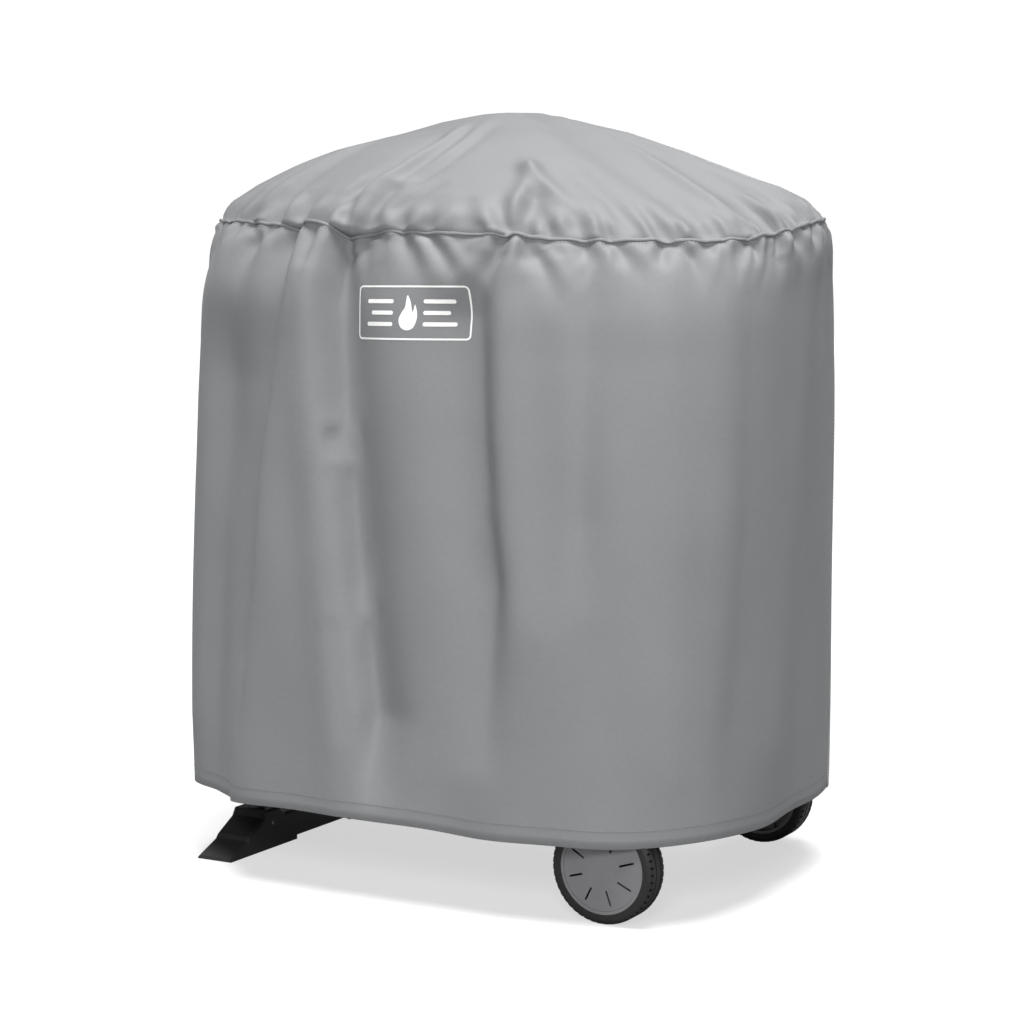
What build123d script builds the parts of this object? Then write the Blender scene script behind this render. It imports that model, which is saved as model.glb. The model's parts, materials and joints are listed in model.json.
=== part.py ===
"""A fitted cloth grill cover worn over a small gas grill on a two-wheeled cart.

Millimetres. The origin is on the floor under the middle of the cover, +Z is up, the front of
the cover faces -Y, and the wheels are at the +X end. Each piece is written to parts/NODE.step.
"""

from build123d import *
import math
import os

# ---- Driving dimensions of the cover
HEM_HEIGHT = 104
SEAM_HEIGHT = 862
CROWN_TOP = 1026
CLOTH = 2.0
LAYER_GAP = 0.3
WELT_THICKNESS = 2.3
WELT_HEIGHT = 5
BACK_SEAM_TURN = 30
SEAM_GAP_TURN = 0.05
BINDING_TURN = 2.4
BINDING_THICKNESS = 1.2
BAND_STEP = 8
OVAL_POINTS = 32

# Height, half width, half depth and squareness of the hanging wall (a squareness of 2 is an ellipse).
WALL_SECTIONS = [
    (HEM_HEIGHT, 418, 314, 3.9),
    (300, 426, 303, 3.6),
    (550, 436, 287, 3.1),
    (780, 445, 264, 2.6),
    (SEAM_HEIGHT, 446, 240, 2.1),
]
# The crown leans in from the seam to a small flat top over the lid.
CROWN_SECTIONS = [
    (SEAM_HEIGHT, 446, 240, 2.1),
    (904, 413, 222, 2.1),
    (932, 357, 198, 2.0),
    (960, 268, 158, 2.0),
    (990, 180, 112, 2.0),
    (1015, 95, 62, 2.0),
    (CROWN_TOP, 30, 20, 2.0),
]
EMBLEM_WIDTH, EMBLEM_HEIGHT, EMBLEM_Z = 168, 70, 757
EMBLEM_THICKNESS = 0.5
# A distance outside everything, for cutting tools.
FAR = 600

# ---- Driving dimensions of the cart
WHEEL_RADIUS = 70
WHEEL_WIDTH = 40
WHEEL_X = 280
WHEEL_Y = 248
RIM_RADIUS = 57
AXLE_RADIUS = 5
BUSH_RADIUS = 8
RUNNING_GAP = 0.05
TYRE_SHOULDER = 7
GROOVE_WIDTH, GROOVE_DEPTH, GROOVE_OFFSET = 3, 2.5, 7
NOTCH_COUNT = 48
NOTCH_LENGTH, NOTCH_WIDTH, NOTCH_DEPTH = 3.2, 9, 2.6
HUB_RADIUS = 15
WEB_THICKNESS = 5
RIB_COUNT = 8
RIB_WIDTH, RIB_DEPTH = 3, 12
CAP_THICKNESS, CAP_DISH = 2.2, 4
SLOT_COUNT, SLOT_WIDTH, SLOT_PHASE = 8, 2.6, 28.5
LEG_RADIUS = 12.5
LEG_Y = 130
LEFT_LEG_X = -336
RIGHT_LEG_X = WHEEL_X
LEG_TOP = 677.5
LEG_BEND = 45
TUBE_WALL = 1.5
RAIL_RADIUS = 10
RAIL_PLUG = 20
BOLT_REACH = 14
TOP_RAIL_Z = 620
LOW_RAIL_Z = 190
FOOT_WIDTH = 56
FOOT_HALF_LENGTH = 232
FOOT_ARCH, FOOT_HOLLOW = 70, 84
FOOT_BOLT_Z = 36
LEG_SOCKET_Z = 12
BOLT_RADIUS = 3
BOLT_HEAD_RADIUS = 5.5
BOLT_HEAD = 4
SHEET_STEEL = 1.5
SHELF_LIP = 16
SHELF_SLOT = (28, 180)
SHELF_SLOT_COUNT, SHELF_SLOT_PITCH = 6, 90
RIGHT_LEG_LOW = 50

# ---- Driving dimensions of the grill
TUB_BOTTOM = 690
TUB_TOP = 846
SHELL = 3
TUB_SECTIONS = [(TUB_BOTTOM, 215, 120), (TUB_TOP, 300, 190)]
TUB_CORNER = 40
DRAIN_RADIUS = 22
REST_HALF_WIDTH = 15
LEDGE = 14
TRAY_WALL, TRAY_DEPTH, TRAY_HALF_DEPTH = 1.5, 18, 85
# Height, half width, half depth and squareness of the lid.
LID_SECTIONS = [
    (847, 304, 194, 4.0),
    (896, 278, 176, 3.2),
    (938, 215, 134, 2.6),
    (970, 130, 82, 2.3),
    (992, 40, 26, 2.0),
]
TUB_REST_X = 180
GRATE_Z = 826
GRATE_BARS = 21
GRATE_PITCH = 24
GRATE_ROD = 3
GRATE_RAIL_Y = 150
BURNER_Z = 745
BURNER_RADIUS = 12
BURNER_ENDS = (-200, 210)
BURNER_CAP = 2
PORT_COUNT, PORT_PITCH, PORT_RADIUS = 12, 30, 1.5
SADDLE_X = (-150, 130)
SHELF_Z = 836
SHELF_END = 398
SHELF_HALF_DEPTH = 96
SHELF_HEIGHT = 10
SHELF_CORNER = 22
GUSSET_Y, GUSSET_THICKNESS = 60, 3
KNOB_X = 185
KNOB_Z = BURNER_Z
SPINDLE_RADIUS = 4
FEED_RADIUS = 7
CONTROL_FRONT = -212
CONTROL_BACK = -120
CONTROL_HALF_WIDTH, CONTROL_HALF_HEIGHT, CONTROL_WALL = 48, 30, 2
VALVE_RADIUS = 11
KNOB_RADIUS = 19
VALVE_BACK = -172
TRAY_LEDGE_Z = 650
LID_HANDLE_Y = -206
LID_HANDLE_Z = 880
LID_HANDLE_LENGTH = 220
LID_POST_X = 92
HINGE_Y = 204
HINGE_Z = 848
HINGE_X = 150
HINGE_PIN = 3
KNUCKLE_RADIUS, KNUCKLE_LENGTH = 6, 12
HINGE_GAP = 0.2


def oval(height, half_width, half_depth, squareness, grow=0.0):
    """A closed, level superellipse wire, grown outwards by `grow`."""
    points = []
    for i in range(OVAL_POINTS):
        turn = 2 * math.pi * i / OVAL_POINTS
        across, along = math.cos(turn), math.sin(turn)
        reach = (abs(across) ** squareness + abs(along) ** squareness) ** (-1 / squareness)
        points.append(
            ((half_width + grow) * reach * across, (half_depth + grow) * reach * along, height)
        )
    # Every oval shares one even parameter, which keeps the surfaces between ovals light.
    even = [float(i) for i in range(OVAL_POINTS + 1)]
    return Wire([Edge.make_spline(points, periodic=True, parameters=even)])


def body_through(sections, grow=0.0, lift=0.0):
    """A closed solid through level ovals, each grown outwards by `grow` and raised by `lift`."""
    wires = []
    for height, half_width, half_depth, squareness in sections:
        wires.append(oval(height + lift, half_width, half_depth, squareness, grow))
    return Solid.make_loft(wires)


def block(low, high):
    """A box between two corners."""
    middle = [(a + b) / 2 for a, b in zip(low, high)]
    sizes = [b - a for a, b in zip(low, high)]
    return Pos(*middle) * Box(*sizes)


def rod(start, end, radius):
    """A round bar between two points."""
    start, end = Vector(*start), Vector(*end)
    along = end - start
    return Plane(origin=start, z_dir=along) * Cylinder(
        radius, along.length, align=(Align.CENTER, Align.CENTER, Align.MIN)
    )


def tube(start, end, radius, wall=TUBE_WALL):
    """A round tube between two points."""
    return rod(start, end, radius) - rod(start, end, radius - wall)


# ---------------------------------------------------------------- cover

def rim_point(section, turn_degrees, grow):
    """A point on one oval section, at a turn anticlockwise from +X."""
    height, half_width, half_depth, squareness = section
    turn = math.radians(turn_degrees)
    across, along = math.cos(turn), math.sin(turn)
    reach = (abs(across) ** squareness + abs(along) ** squareness) ** (-1 / squareness)
    return ((half_width + grow) * reach * across, (half_depth + grow) * reach * along, height)


def band(sections, first_turn, last_turn, inner_grow, outer_grow):
    """A curved sheet of even thickness that follows the ovals between two turns."""
    steps = max(3, round((last_turn - first_turn) / BAND_STEP))
    even = [float(i) for i in range(steps + 1)]
    wires = []
    for section in sections:
        curves = []
        for grow in (outer_grow, inner_grow):
            points = [
                rim_point(section, first_turn + (last_turn - first_turn) * i / steps, grow)
                for i in range(steps + 1)
            ]
            curves.append(points)
        outer, inner = curves
        edges = [
            Edge.make_spline(outer, parameters=even),
            Edge.make_line(outer[-1], inner[-1]),
            Edge.make_spline(list(reversed(inner)), parameters=even),
            Edge.make_line(inner[0], outer[0]),
        ]
        wires.append(Wire(edges))
    return Solid.make_loft(wires)


def wall_panels():
    """The front panel wraps round both ends to the two back seams; the back panel closes it."""
    back_from, back_to = BACK_SEAM_TURN, 180 - BACK_SEAM_TURN
    front = band(WALL_SECTIONS, back_to + SEAM_GAP_TURN, 360 + back_from - SEAM_GAP_TURN, -CLOTH, 0)
    back = band(WALL_SECTIONS, back_from, back_to, -CLOTH, 0)
    return front, back


def back_seam_binding(side):
    """The raised binding over one upright back seam: side is -1 at the left, 1 at the right."""
    middle = BACK_SEAM_TURN if side > 0 else 180 - BACK_SEAM_TURN
    half = BINDING_TURN / 2
    return band(
        WALL_SECTIONS, middle - half, middle + half, LAYER_GAP, LAYER_GAP + BINDING_THICKNESS
    )


def crown_panel():
    """The domed top, open underneath."""
    outer = body_through(CROWN_SECTIONS)
    inner = body_through(CROWN_SECTIONS, -CLOTH, lift=-CLOTH)
    return outer - inner


def crown_seam_welt():
    """The raised, turned-over edge where the crown is sewn to the wall."""
    height, half_width, half_depth, squareness = CROWN_SECTIONS[0]
    ring = []
    for grow in (LAYER_GAP + WELT_THICKNESS, LAYER_GAP):
        face = Face(oval(height + LAYER_GAP, half_width, half_depth, squareness, grow))
        ring.append(Solid.extrude(face, (0, 0, WELT_HEIGHT)))
    return ring[0] - ring[1]


def emblem_print():
    """A thin printed panel on the front, following the wall."""
    half_turn = math.degrees(math.atan2(EMBLEM_WIDTH / 2 / WALL_SECTIONS[3][1], 1))
    band_there = band(
        WALL_SECTIONS, 270 - half_turn, 270 + half_turn,
        LAYER_GAP, LAYER_GAP + EMBLEM_THICKNESS,
    )
    half_height = EMBLEM_HEIGHT / 2
    low, high = (-FAR, -FAR, EMBLEM_Z - half_height), (FAR, 0, EMBLEM_Z + half_height)
    return band_there & block(low, high)


# ---------------------------------------------------------------- wheels


def turned(profile):
    """Turns a closed outline in (radius, y) about the wheel's axis, which lies along Y."""
    face = make_face(Polyline([(r, y, 0) for r, y in profile], close=True))
    return revolve(face, Axis.Y)


def across_wheel(radius, width, bore=0.0):
    """A disc or a ring about the wheel's axis."""
    disc = Cylinder(radius, width)
    return Rot(90, 0, 0) * (disc - Cylinder(bore, width) if bore else disc)


def tyre():
    """A solid tyre with rounded shoulders, two grooves and a row of notches on each shoulder."""
    ring = across_wheel(WHEEL_RADIUS, WHEEL_WIDTH, RIM_RADIUS)
    ring = fillet(ring.edges().filter_by(GeomType.CIRCLE).group_by(SortBy.RADIUS)[-1], TYRE_SHOULDER)
    notch = Box(NOTCH_LENGTH, NOTCH_WIDTH, NOTCH_DEPTH)
    for side in (-1, 1):
        groove = across_wheel(WHEEL_RADIUS + 1, GROOVE_WIDTH, WHEEL_RADIUS - GROOVE_DEPTH)
        ring -= Pos(0, side * GROOVE_OFFSET, 0) * groove
        seat = Pos(0, side * (WHEEL_WIDTH / 2 - NOTCH_DEPTH), WHEEL_RADIUS - NOTCH_DEPTH / 2)
        ring -= [Rot(0, 360 * i / NOTCH_COUNT, 0) * seat * notch for i in range(NOTCH_COUNT)]
    return ring


def rim(facing):
    """The moulded wheel centre: a hub, a web, its ribs and the ring under the tyre."""
    half = WHEEL_WIDTH / 2 - 1
    ring_bore = RIM_RADIUS - 4
    made = Cylinder(RIM_RADIUS - RUNNING_GAP, 2 * half) - Cylinder(ring_bore, 2 * half)
    made += Cylinder(HUB_RADIUS, 2 * half - RIB_DEPTH)
    made += Cylinder(ring_bore + 1, WEB_THICKNESS)
    rib = Box(RIM_RADIUS - HUB_RADIUS - 1, RIB_WIDTH, RIB_DEPTH)
    for i in range(RIB_COUNT):
        turn = 360 * (i + 0.5) / RIB_COUNT
        made += Rot(0, 0, turn) * Pos((RIM_RADIUS + RIB_DEPTH) / 2, 0, -WEB_THICKNESS) * rib
    made -= Cylinder(BUSH_RADIUS + RUNNING_GAP, 2 * half)
    return Rot(90 * facing, 0, 0) * made


def hub_cap(facing):
    """The shallow domed disc over the outside of the wheel, with radial slots."""
    outer_y = WHEEL_WIDTH / 2 - 1.5
    edge = RIM_RADIUS - 4.2
    shoulder = (edge * 0.45, outer_y + CAP_DISH * 0.8)
    dome = [(0, outer_y + CAP_DISH), shoulder, (edge, outer_y)]
    under = [(r, y - CAP_THICKNESS) for r, y in reversed(dome)]
    disc = turned(dome + under)
    slot = Pos(edge * 0.69, outer_y, 0) * Box(edge * 0.38, 30, SLOT_WIDTH)
    for i in range(SLOT_COUNT):
        disc -= Rot(0, SLOT_PHASE + 360 * i / SLOT_COUNT, 0) * slot
    return disc if facing < 0 else mirror(disc, Plane.XZ)


def wheel_bush():
    """The plain bearing between the hub and the axle."""
    length = WHEEL_WIDTH - 14
    bush = Cylinder(BUSH_RADIUS, length) - Cylinder(AXLE_RADIUS + RUNNING_GAP, length)
    return Rot(90, 0, 0) * bush


def wheel(side):
    """One wheel's pieces, placed: side is -1 at the front, 1 at the back."""
    place = Pos(WHEEL_X, side * WHEEL_Y, WHEEL_RADIUS)
    name = "front" if side < 0 else "rear"
    cap = hub_cap(1) if side < 0 else hub_cap(-1)
    return {
        f"{name}_tyre": place * tyre(),
        f"{name}_rim": place * rim(1 if side < 0 else -1),
        f"{name}_hub_cap": place * cap,
        f"{name}_wheel_bush": place * wheel_bush(),
    }


# ---------------------------------------------------------------- cart


def leg_bar(x, low_z, radius):
    """A round bar along a leg frame's line: two uprights and a rounded top."""
    path = FilletPolyline(
        (x, -LEG_Y, low_z), (x, -LEG_Y, LEG_TOP), (x, LEG_Y, LEG_TOP), (x, LEG_Y, low_z),
        radius=LEG_BEND,
    )
    start = Plane(origin=(x, -LEG_Y, low_z), z_dir=(0, 0, 1))
    return sweep(start * Circle(radius), path=path)


def leg_frame(x, low_z):
    """A tube frame like an upside-down U."""
    return leg_bar(x, low_z, LEG_RADIUS) - leg_bar(x, low_z, LEG_RADIUS - TUBE_WALL)


def foot_bar():
    """The moulded bar on the floor at the left end: a sloping toe at each end, arched underneath."""
    toe = [
        (-FOOT_HALF_LENGTH, 0), (-FOOT_HALF_LENGTH, 5), (-192, 21), (-187, 27), (-152, 46),
        (-146, 56), (-112, 56), (-98, 44),
    ]
    outline = toe + [(-y, z) for y, z in reversed(toe)]
    bar = extrude(Plane.YZ * make_face(Polyline(outline, close=True)), FOOT_WIDTH / 2, both=True)
    shoulders = [
        edge for edge in bar.edges()
        if abs(abs(edge.center().X) - FOOT_WIDTH / 2) < 0.1 and edge.center().Z > 8
    ]
    bar = chamfer(shoulders, 3)
    wall = 5
    bar -= block((-FOOT_WIDTH, -FOOT_ARCH, 0), (FOOT_WIDTH, FOOT_ARCH, 6))
    bar -= block((wall - FOOT_WIDTH / 2, -FOOT_HOLLOW, -1), (FOOT_WIDTH / 2 - wall, FOOT_HOLLOW, 34))
    bar = Pos(LEFT_LEG_X, 0, 0) * bar
    for y in (-LEG_Y, LEG_Y):
        bar -= rod((LEFT_LEG_X, y, LEG_SOCKET_Z), (LEFT_LEG_X, y, 80), LEG_RADIUS)
    return bar


def foot_bolts():
    """One bolt at each end of the bar, through the bar and the leg in it."""
    reach = FOOT_WIDTH / 2
    return [
        bolt((LEFT_LEG_X - reach, y, FOOT_BOLT_Z), (1, 0, 0), FOOT_WIDTH) for y in (-LEG_Y, LEG_Y)
    ]


def bolt(seat, direction, length):
    """A hexagon-headed bolt: its head stands on `seat`, and its shank runs along `direction`."""
    plane = Plane(origin=seat, z_dir=direction)
    head = extrude(plane * RegularPolygon(BOLT_HEAD_RADIUS, 6), -BOLT_HEAD)
    shank = plane * Cylinder(BOLT_RADIUS, length, align=(Align.CENTER, Align.CENTER, Align.MIN))
    return head + shank


def frame_bolts():
    """A bolt through each upright into the end of each rail."""
    made = []
    for y in (-LEG_Y, LEG_Y):
        for z in (LOW_RAIL_Z, TOP_RAIL_Z):
            length = 2 * LEG_RADIUS + BOLT_REACH
            made.append(bolt((LEFT_LEG_X - LEG_RADIUS, y, z), (1, 0, 0), length))
            made.append(bolt((RIGHT_LEG_X + LEG_RADIUS, y, z), (-1, 0, 0), length))
    return made


def rail(y, z, legs):
    """A straight tube from leg frame to leg frame, with a plug in each end for its bolt."""
    bar = tube((LEFT_LEG_X, y, z), (RIGHT_LEG_X, y, z), RAIL_RADIUS)
    for x, inwards in ((LEFT_LEG_X + LEG_RADIUS, 1), (RIGHT_LEG_X - LEG_RADIUS, -1)):
        plug_start, plug_end = (x - inwards * 10, y, z), (x + inwards * RAIL_PLUG, y, z)
        bar += rod(plug_start, plug_end, RAIL_RADIUS - TUBE_WALL)
    for leg in legs:
        bar -= leg
    return bar


def axle():
    """The steel axle from wheel to wheel."""
    reach = WHEEL_Y + 17
    return rod((WHEEL_X, -reach, WHEEL_RADIUS), (WHEEL_X, reach, WHEEL_RADIUS), AXLE_RADIUS)


def on_axle(low, high, outer, bore):
    """A ring round the axle line between two distances from the middle, at both ends."""
    rings = []
    for side in (-1, 1):
        start = (WHEEL_X, side * low, WHEEL_RADIUS)
        end = (WHEEL_X, side * high, WHEEL_RADIUS)
        rings.append(rod(start, end, outer) - rod(start, end, bore))
    return rings


def leg_end_plugs():
    """A plastic plug closes the open foot of each upright over the axle."""
    plugs = []
    for y in (-LEG_Y, LEG_Y):
        foot, inside = (WHEEL_X, y, RIGHT_LEG_LOW), (WHEEL_X, y, RIGHT_LEG_LOW + 8)
        stem = rod(foot, inside, LEG_RADIUS - TUBE_WALL)
        cap = rod((WHEEL_X, y, RIGHT_LEG_LOW - 3), foot, LEG_RADIUS)
        plugs.append(stem + cap)
    return plugs


def shelf():
    """The pressed sheet shelf that lies on the two low rails, its edges turned down outside them."""
    top = LOW_RAIL_Z + RAIL_RADIUS
    low_x, high_x = LEFT_LEG_X + LEG_RADIUS + 6, RIGHT_LEG_X - LEG_RADIUS - 6
    edge_y = LEG_Y + RAIL_RADIUS + 3
    tray = block((low_x, -edge_y, top), (high_x, edge_y, top + SHEET_STEEL))
    for side in (-1, 1):
        lip_y = sorted((side * edge_y, side * (edge_y - SHEET_STEEL)))
        tray += block((low_x, lip_y[0], top - SHELF_LIP), (high_x, lip_y[1], top))
    middle = (low_x + high_x) / 2
    half_width, half_length = SHELF_SLOT[0] / 2, SHELF_SLOT[1] / 2
    for i in range(SHELF_SLOT_COUNT):
        x = middle + (i - (SHELF_SLOT_COUNT - 1) / 2) * SHELF_SLOT_PITCH
        tray -= block((x - half_width, -half_length, top - 1), (x + half_width, half_length, top + 3))
    return tray


# ---------------------------------------------------------------- grill


def rounded_box_through(sections, corner, grow=0.0):
    """A closed solid through level, round-cornered rectangles."""
    wires = []
    for height, half_width, half_depth in sections:
        face = RectangleRounded(2 * (half_width + grow), 2 * (half_depth + grow), corner + grow)
        wires.append((Pos(0, 0, height) * face).wire())
    return Solid.make_loft(wires)


def tub():
    """The cook box: tapering walls and a floor with a drain hole."""
    box = tub_outline() - tub_hollow()
    box -= rod((0, 0, TUB_BOTTOM - 1), (0, 0, TUB_BOTTOM + 5), DRAIN_RADIUS)
    box -= rod((KNOB_X, -FAR, BURNER_Z), (KNOB_X, -50, BURNER_Z), FEED_RADIUS)
    return box


def tub_hollow():
    """The space inside the cook box, open at the top."""
    low, high = TUB_SECTIONS
    hollow = [(low[0] + SHELL, low[1], low[2]), (high[0] + 1, high[1], high[2])]
    return rounded_box_through(hollow, TUB_CORNER, -SHELL)


def tub_outline():
    """The cook box as a full solid, for cutting what meets it."""
    return rounded_box_through(TUB_SECTIONS, TUB_CORNER)


def tub_rest(x):
    """A cross bar over the two top rails that the cook box sits on, with a ledge for the drip tray."""
    half = REST_HALF_WIDTH
    inwards = -1 if x > 0 else 1
    low = TOP_RAIL_Z + RAIL_RADIUS - 3
    bar = block((x - half, -LEG_Y - 12, low), (x + half, LEG_Y + 12, TUB_BOTTOM))
    hollow = block((x - half + 2, -LEG_Y - 10, low - 1), (x + half - 2, LEG_Y + 10, TUB_BOTTOM - 2))
    bar -= hollow
    ledge_x = sorted((x + inwards * half, x + inwards * (half + LEDGE)))
    ledge_y = TRAY_HALF_DEPTH + 5
    bar += block((ledge_x[0], -ledge_y, TRAY_LEDGE_Z - 2), (ledge_x[1], ledge_y, TRAY_LEDGE_Z))
    for y in (-LEG_Y, LEG_Y):
        bar -= rod((LEFT_LEG_X, y, TOP_RAIL_Z), (RIGHT_LEG_X, y, TOP_RAIL_Z), RAIL_RADIUS)
    return bar


def drip_tray():
    """A shallow pan under the drain hole that slides on the ledges."""
    half_x, half_y = TUB_REST_X - REST_HALF_WIDTH - 1, TRAY_HALF_DEPTH
    low, high = TRAY_LEDGE_Z, TRAY_LEDGE_Z + TRAY_DEPTH
    pan = block((-half_x, -half_y, low), (half_x, half_y, high))
    half_x, half_y = half_x - TRAY_WALL, half_y - TRAY_WALL
    return pan - block((-half_x, -half_y, low + TRAY_WALL), (half_x, half_y, high + 1))


def grate():
    """The cooking grate: a frame of two long rods with cross bars."""
    reach_x = (GRATE_BARS - 1) / 2 * GRATE_PITCH
    bars = []
    for y in (-GRATE_RAIL_Y, GRATE_RAIL_Y):
        bars.append(rod((-reach_x, y, GRATE_Z), (reach_x, y, GRATE_Z), GRATE_ROD))
    bar_y, bar_z = GRATE_RAIL_Y + 15, GRATE_Z + GRATE_ROD
    for i in range(GRATE_BARS):
        x = -reach_x + i * GRATE_PITCH
        bars.append(rod((x, -bar_y, bar_z), (x, bar_y, bar_z), GRATE_ROD))
    return bars[0] + bars[1:]


def grate_rests(tub_inside):
    """Two angle strips inside the cook box that hold up the grate."""
    strips = []
    for side in (-1, 1):
        inner, outer = sorted((side * 158, side * 200))
        strips.append(
            block((-200, inner, GRATE_Z - 2), (200, outer, GRATE_Z)) & tub_inside
        )
    return strips


def lid():
    """The domed lid, open underneath."""
    return body_through(LID_SECTIONS) - body_through(LID_SECTIONS, -SHELL, lift=-SHELL)


def lid_handle():
    """The round grip across the front of the lid."""
    reach = LID_HANDLE_LENGTH / 2
    return rod((-reach, LID_HANDLE_Y, LID_HANDLE_Z), (reach, LID_HANDLE_Y, LID_HANDLE_Z), 9)


def handle_posts(lid_outline, grip):
    """The two stand-offs that hold the grip off the lid."""
    made = []
    for x in (-LID_POST_X, LID_POST_X):
        post = rod((x, LID_HANDLE_Y, LID_HANDLE_Z), (x, -150, LID_HANDLE_Z), 6)
        made.append(post - lid_outline - grip)
    return made


def hinge_leaves(upper, keep_clear):
    """The two back hinge straps on the lid (upper) or on the cook box (lower)."""
    made = []
    for x in (-HINGE_X, HINGE_X):
        if upper:
            low_x, high_x = x - KNUCKLE_LENGTH, x - HINGE_GAP
            strap = block((low_x, 170, HINGE_Z - 3), (high_x, HINGE_Y, HINGE_Z + KNUCKLE_RADIUS))
        else:
            low_x, high_x = x + HINGE_GAP, x + KNUCKLE_LENGTH
            strap = block((low_x, 150, HINGE_Z - 26), (high_x, HINGE_Y, HINGE_Z - 3))
        strap += rod((low_x, HINGE_Y, HINGE_Z), (high_x, HINGE_Y, HINGE_Z), KNUCKLE_RADIUS)
        strap -= hinge_pin(x, KNUCKLE_LENGTH + 1)
        made.append(strap - keep_clear)
    return made


def hinge_pin(x, reach):
    """The pin line of one back hinge, out to `reach` on each side of it."""
    return rod((x - reach, HINGE_Y, HINGE_Z), (x + reach, HINGE_Y, HINGE_Z), HINGE_PIN)


def hinge_pins():
    """The pin through each back hinge."""
    return [hinge_pin(x, KNUCKLE_LENGTH + 1) for x in (-HINGE_X, HINGE_X)]


def burner():
    """The burner tube with a closed end each way and a row of ports through both sides."""
    low_x, high_x = BURNER_ENDS
    pipe = tube((low_x, 0, BURNER_Z), (high_x, 0, BURNER_Z), BURNER_RADIUS)
    pipe += rod((low_x - BURNER_CAP, 0, BURNER_Z), (low_x, 0, BURNER_Z), BURNER_RADIUS)
    pipe += rod((high_x, 0, BURNER_Z), (high_x + BURNER_CAP, 0, BURNER_Z), BURNER_RADIUS)
    ports = []
    for i in range(PORT_COUNT):
        x = low_x + 24 + i * PORT_PITCH
        ports.append(rod((x, -20, BURNER_Z), (x, 20, BURNER_Z), PORT_RADIUS))
    return pipe - ports


def burner_brackets(burner_outline):
    """The two saddles that hold the burner over the cook box floor."""
    made = []
    for x in SADDLE_X:
        saddle = block((x - 8, -10, TUB_BOTTOM + SHELL), (x + 8, 10, BURNER_Z))
        made.append(saddle - burner_outline)
    return made


def gas_feed():
    """The pipe from the valve to the burner, through the front of the cook box."""
    start, end = (KNOB_X, VALVE_BACK, BURNER_Z), (KNOB_X, 0, BURNER_Z)
    return rod(start, end, FEED_RADIUS) - rod(start, end, FEED_RADIUS - 2)


def control_block(inset, front, back):
    """A block as wide and high as the control box, less `inset` on each of those four sides."""
    half_x, half_z = CONTROL_HALF_WIDTH - inset, CONTROL_HALF_HEIGHT - inset
    low, high = (KNOB_X - half_x, front, KNOB_Z - half_z), (KNOB_X + half_x, back, KNOB_Z + half_z)
    return block(low, high)


def control_box():
    """The pressed box on the front of the cook box that carries the valve."""
    made = control_block(0, CONTROL_FRONT, CONTROL_BACK)
    made -= control_block(CONTROL_WALL, CONTROL_FRONT + CONTROL_WALL, 0)
    front, behind = (KNOB_X, CONTROL_FRONT - 5, KNOB_Z), (KNOB_X, CONTROL_FRONT + 5, KNOB_Z)
    return made - rod(front, behind, SPINDLE_RADIUS + 1)


def valve_body():
    """The gas valve behind the panel, bored for the spindle."""
    made = rod((KNOB_X, CONTROL_FRONT + 2, KNOB_Z), (KNOB_X, VALVE_BACK, KNOB_Z), VALVE_RADIUS)
    bore = SPINDLE_RADIUS + RUNNING_GAP
    return made - rod((KNOB_X, CONTROL_FRONT, KNOB_Z), (KNOB_X, CONTROL_FRONT + 18, KNOB_Z), bore)


def spindle():
    """The valve spindle that the knob turns."""
    tip, tail = (KNOB_X, CONTROL_FRONT - 14, KNOB_Z), (KNOB_X, CONTROL_FRONT + 17, KNOB_Z)
    return rod(tip, tail, SPINDLE_RADIUS)


def knob(shaft):
    """The control knob: a skirt and a raised grip bar."""
    back, front = CONTROL_FRONT - 3, CONTROL_FRONT - 18
    made = rod((KNOB_X, back, KNOB_Z), (KNOB_X, back - 8, KNOB_Z), KNOB_RADIUS)
    made += block((KNOB_X - 5, front - 4, KNOB_Z - 17), (KNOB_X + 5, back - 8, KNOB_Z + 17))
    return made - shaft


def side_shelf(side):
    """A small pressed side shelf: side is -1 at the left, 1 at the right."""
    low_x, high_x = TUB_SECTIONS[1][1] + 8, SHELF_END
    middle, width = (low_x + high_x) / 2, high_x - low_x
    outline = RectangleRounded(width, 2 * SHELF_HALF_DEPTH, SHELF_CORNER)
    inside = RectangleRounded(width - 4, 2 * SHELF_HALF_DEPTH - 4, SHELF_CORNER - 2)
    plate = extrude(Pos(side * middle, 0, SHELF_Z) * outline, SHELF_HEIGHT)
    return plate - extrude(Pos(side * middle, 0, SHELF_Z - 1) * inside, SHELF_HEIGHT - 1)


def shelf_brackets(side, box_outline):
    """Two gusset plates that carry one side shelf from the end of the cook box."""
    made = []
    corners = [(240, SHELF_Z + 8), (372, SHELF_Z + 8), (372, SHELF_Z - 10), (240, SHELF_Z - 84)]
    plate = make_face(Polyline([(side * x, 0, z) for x, z in corners], close=True))
    for y in (-GUSSET_Y, GUSSET_Y):
        start = Pos(0, y - GUSSET_THICKNESS / 2, 0)
        gusset = extrude(start * plate, GUSSET_THICKNESS, dir=(0, 1, 0))
        made.append(gusset - box_outline)
    return made


# ---------------------------------------------------------------- build


def cover_nodes():
    """Every piece of the cover."""
    front, back = wall_panels()
    return {
        "front_wall_panel": front,
        "back_wall_panel": back,
        "crown_panel": crown_panel(),
        "crown_seam_welt": crown_seam_welt(),
        "left_back_seam_binding": back_seam_binding(-1),
        "right_back_seam_binding": back_seam_binding(1),
        "front_emblem": emblem_print(),
    }


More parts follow.
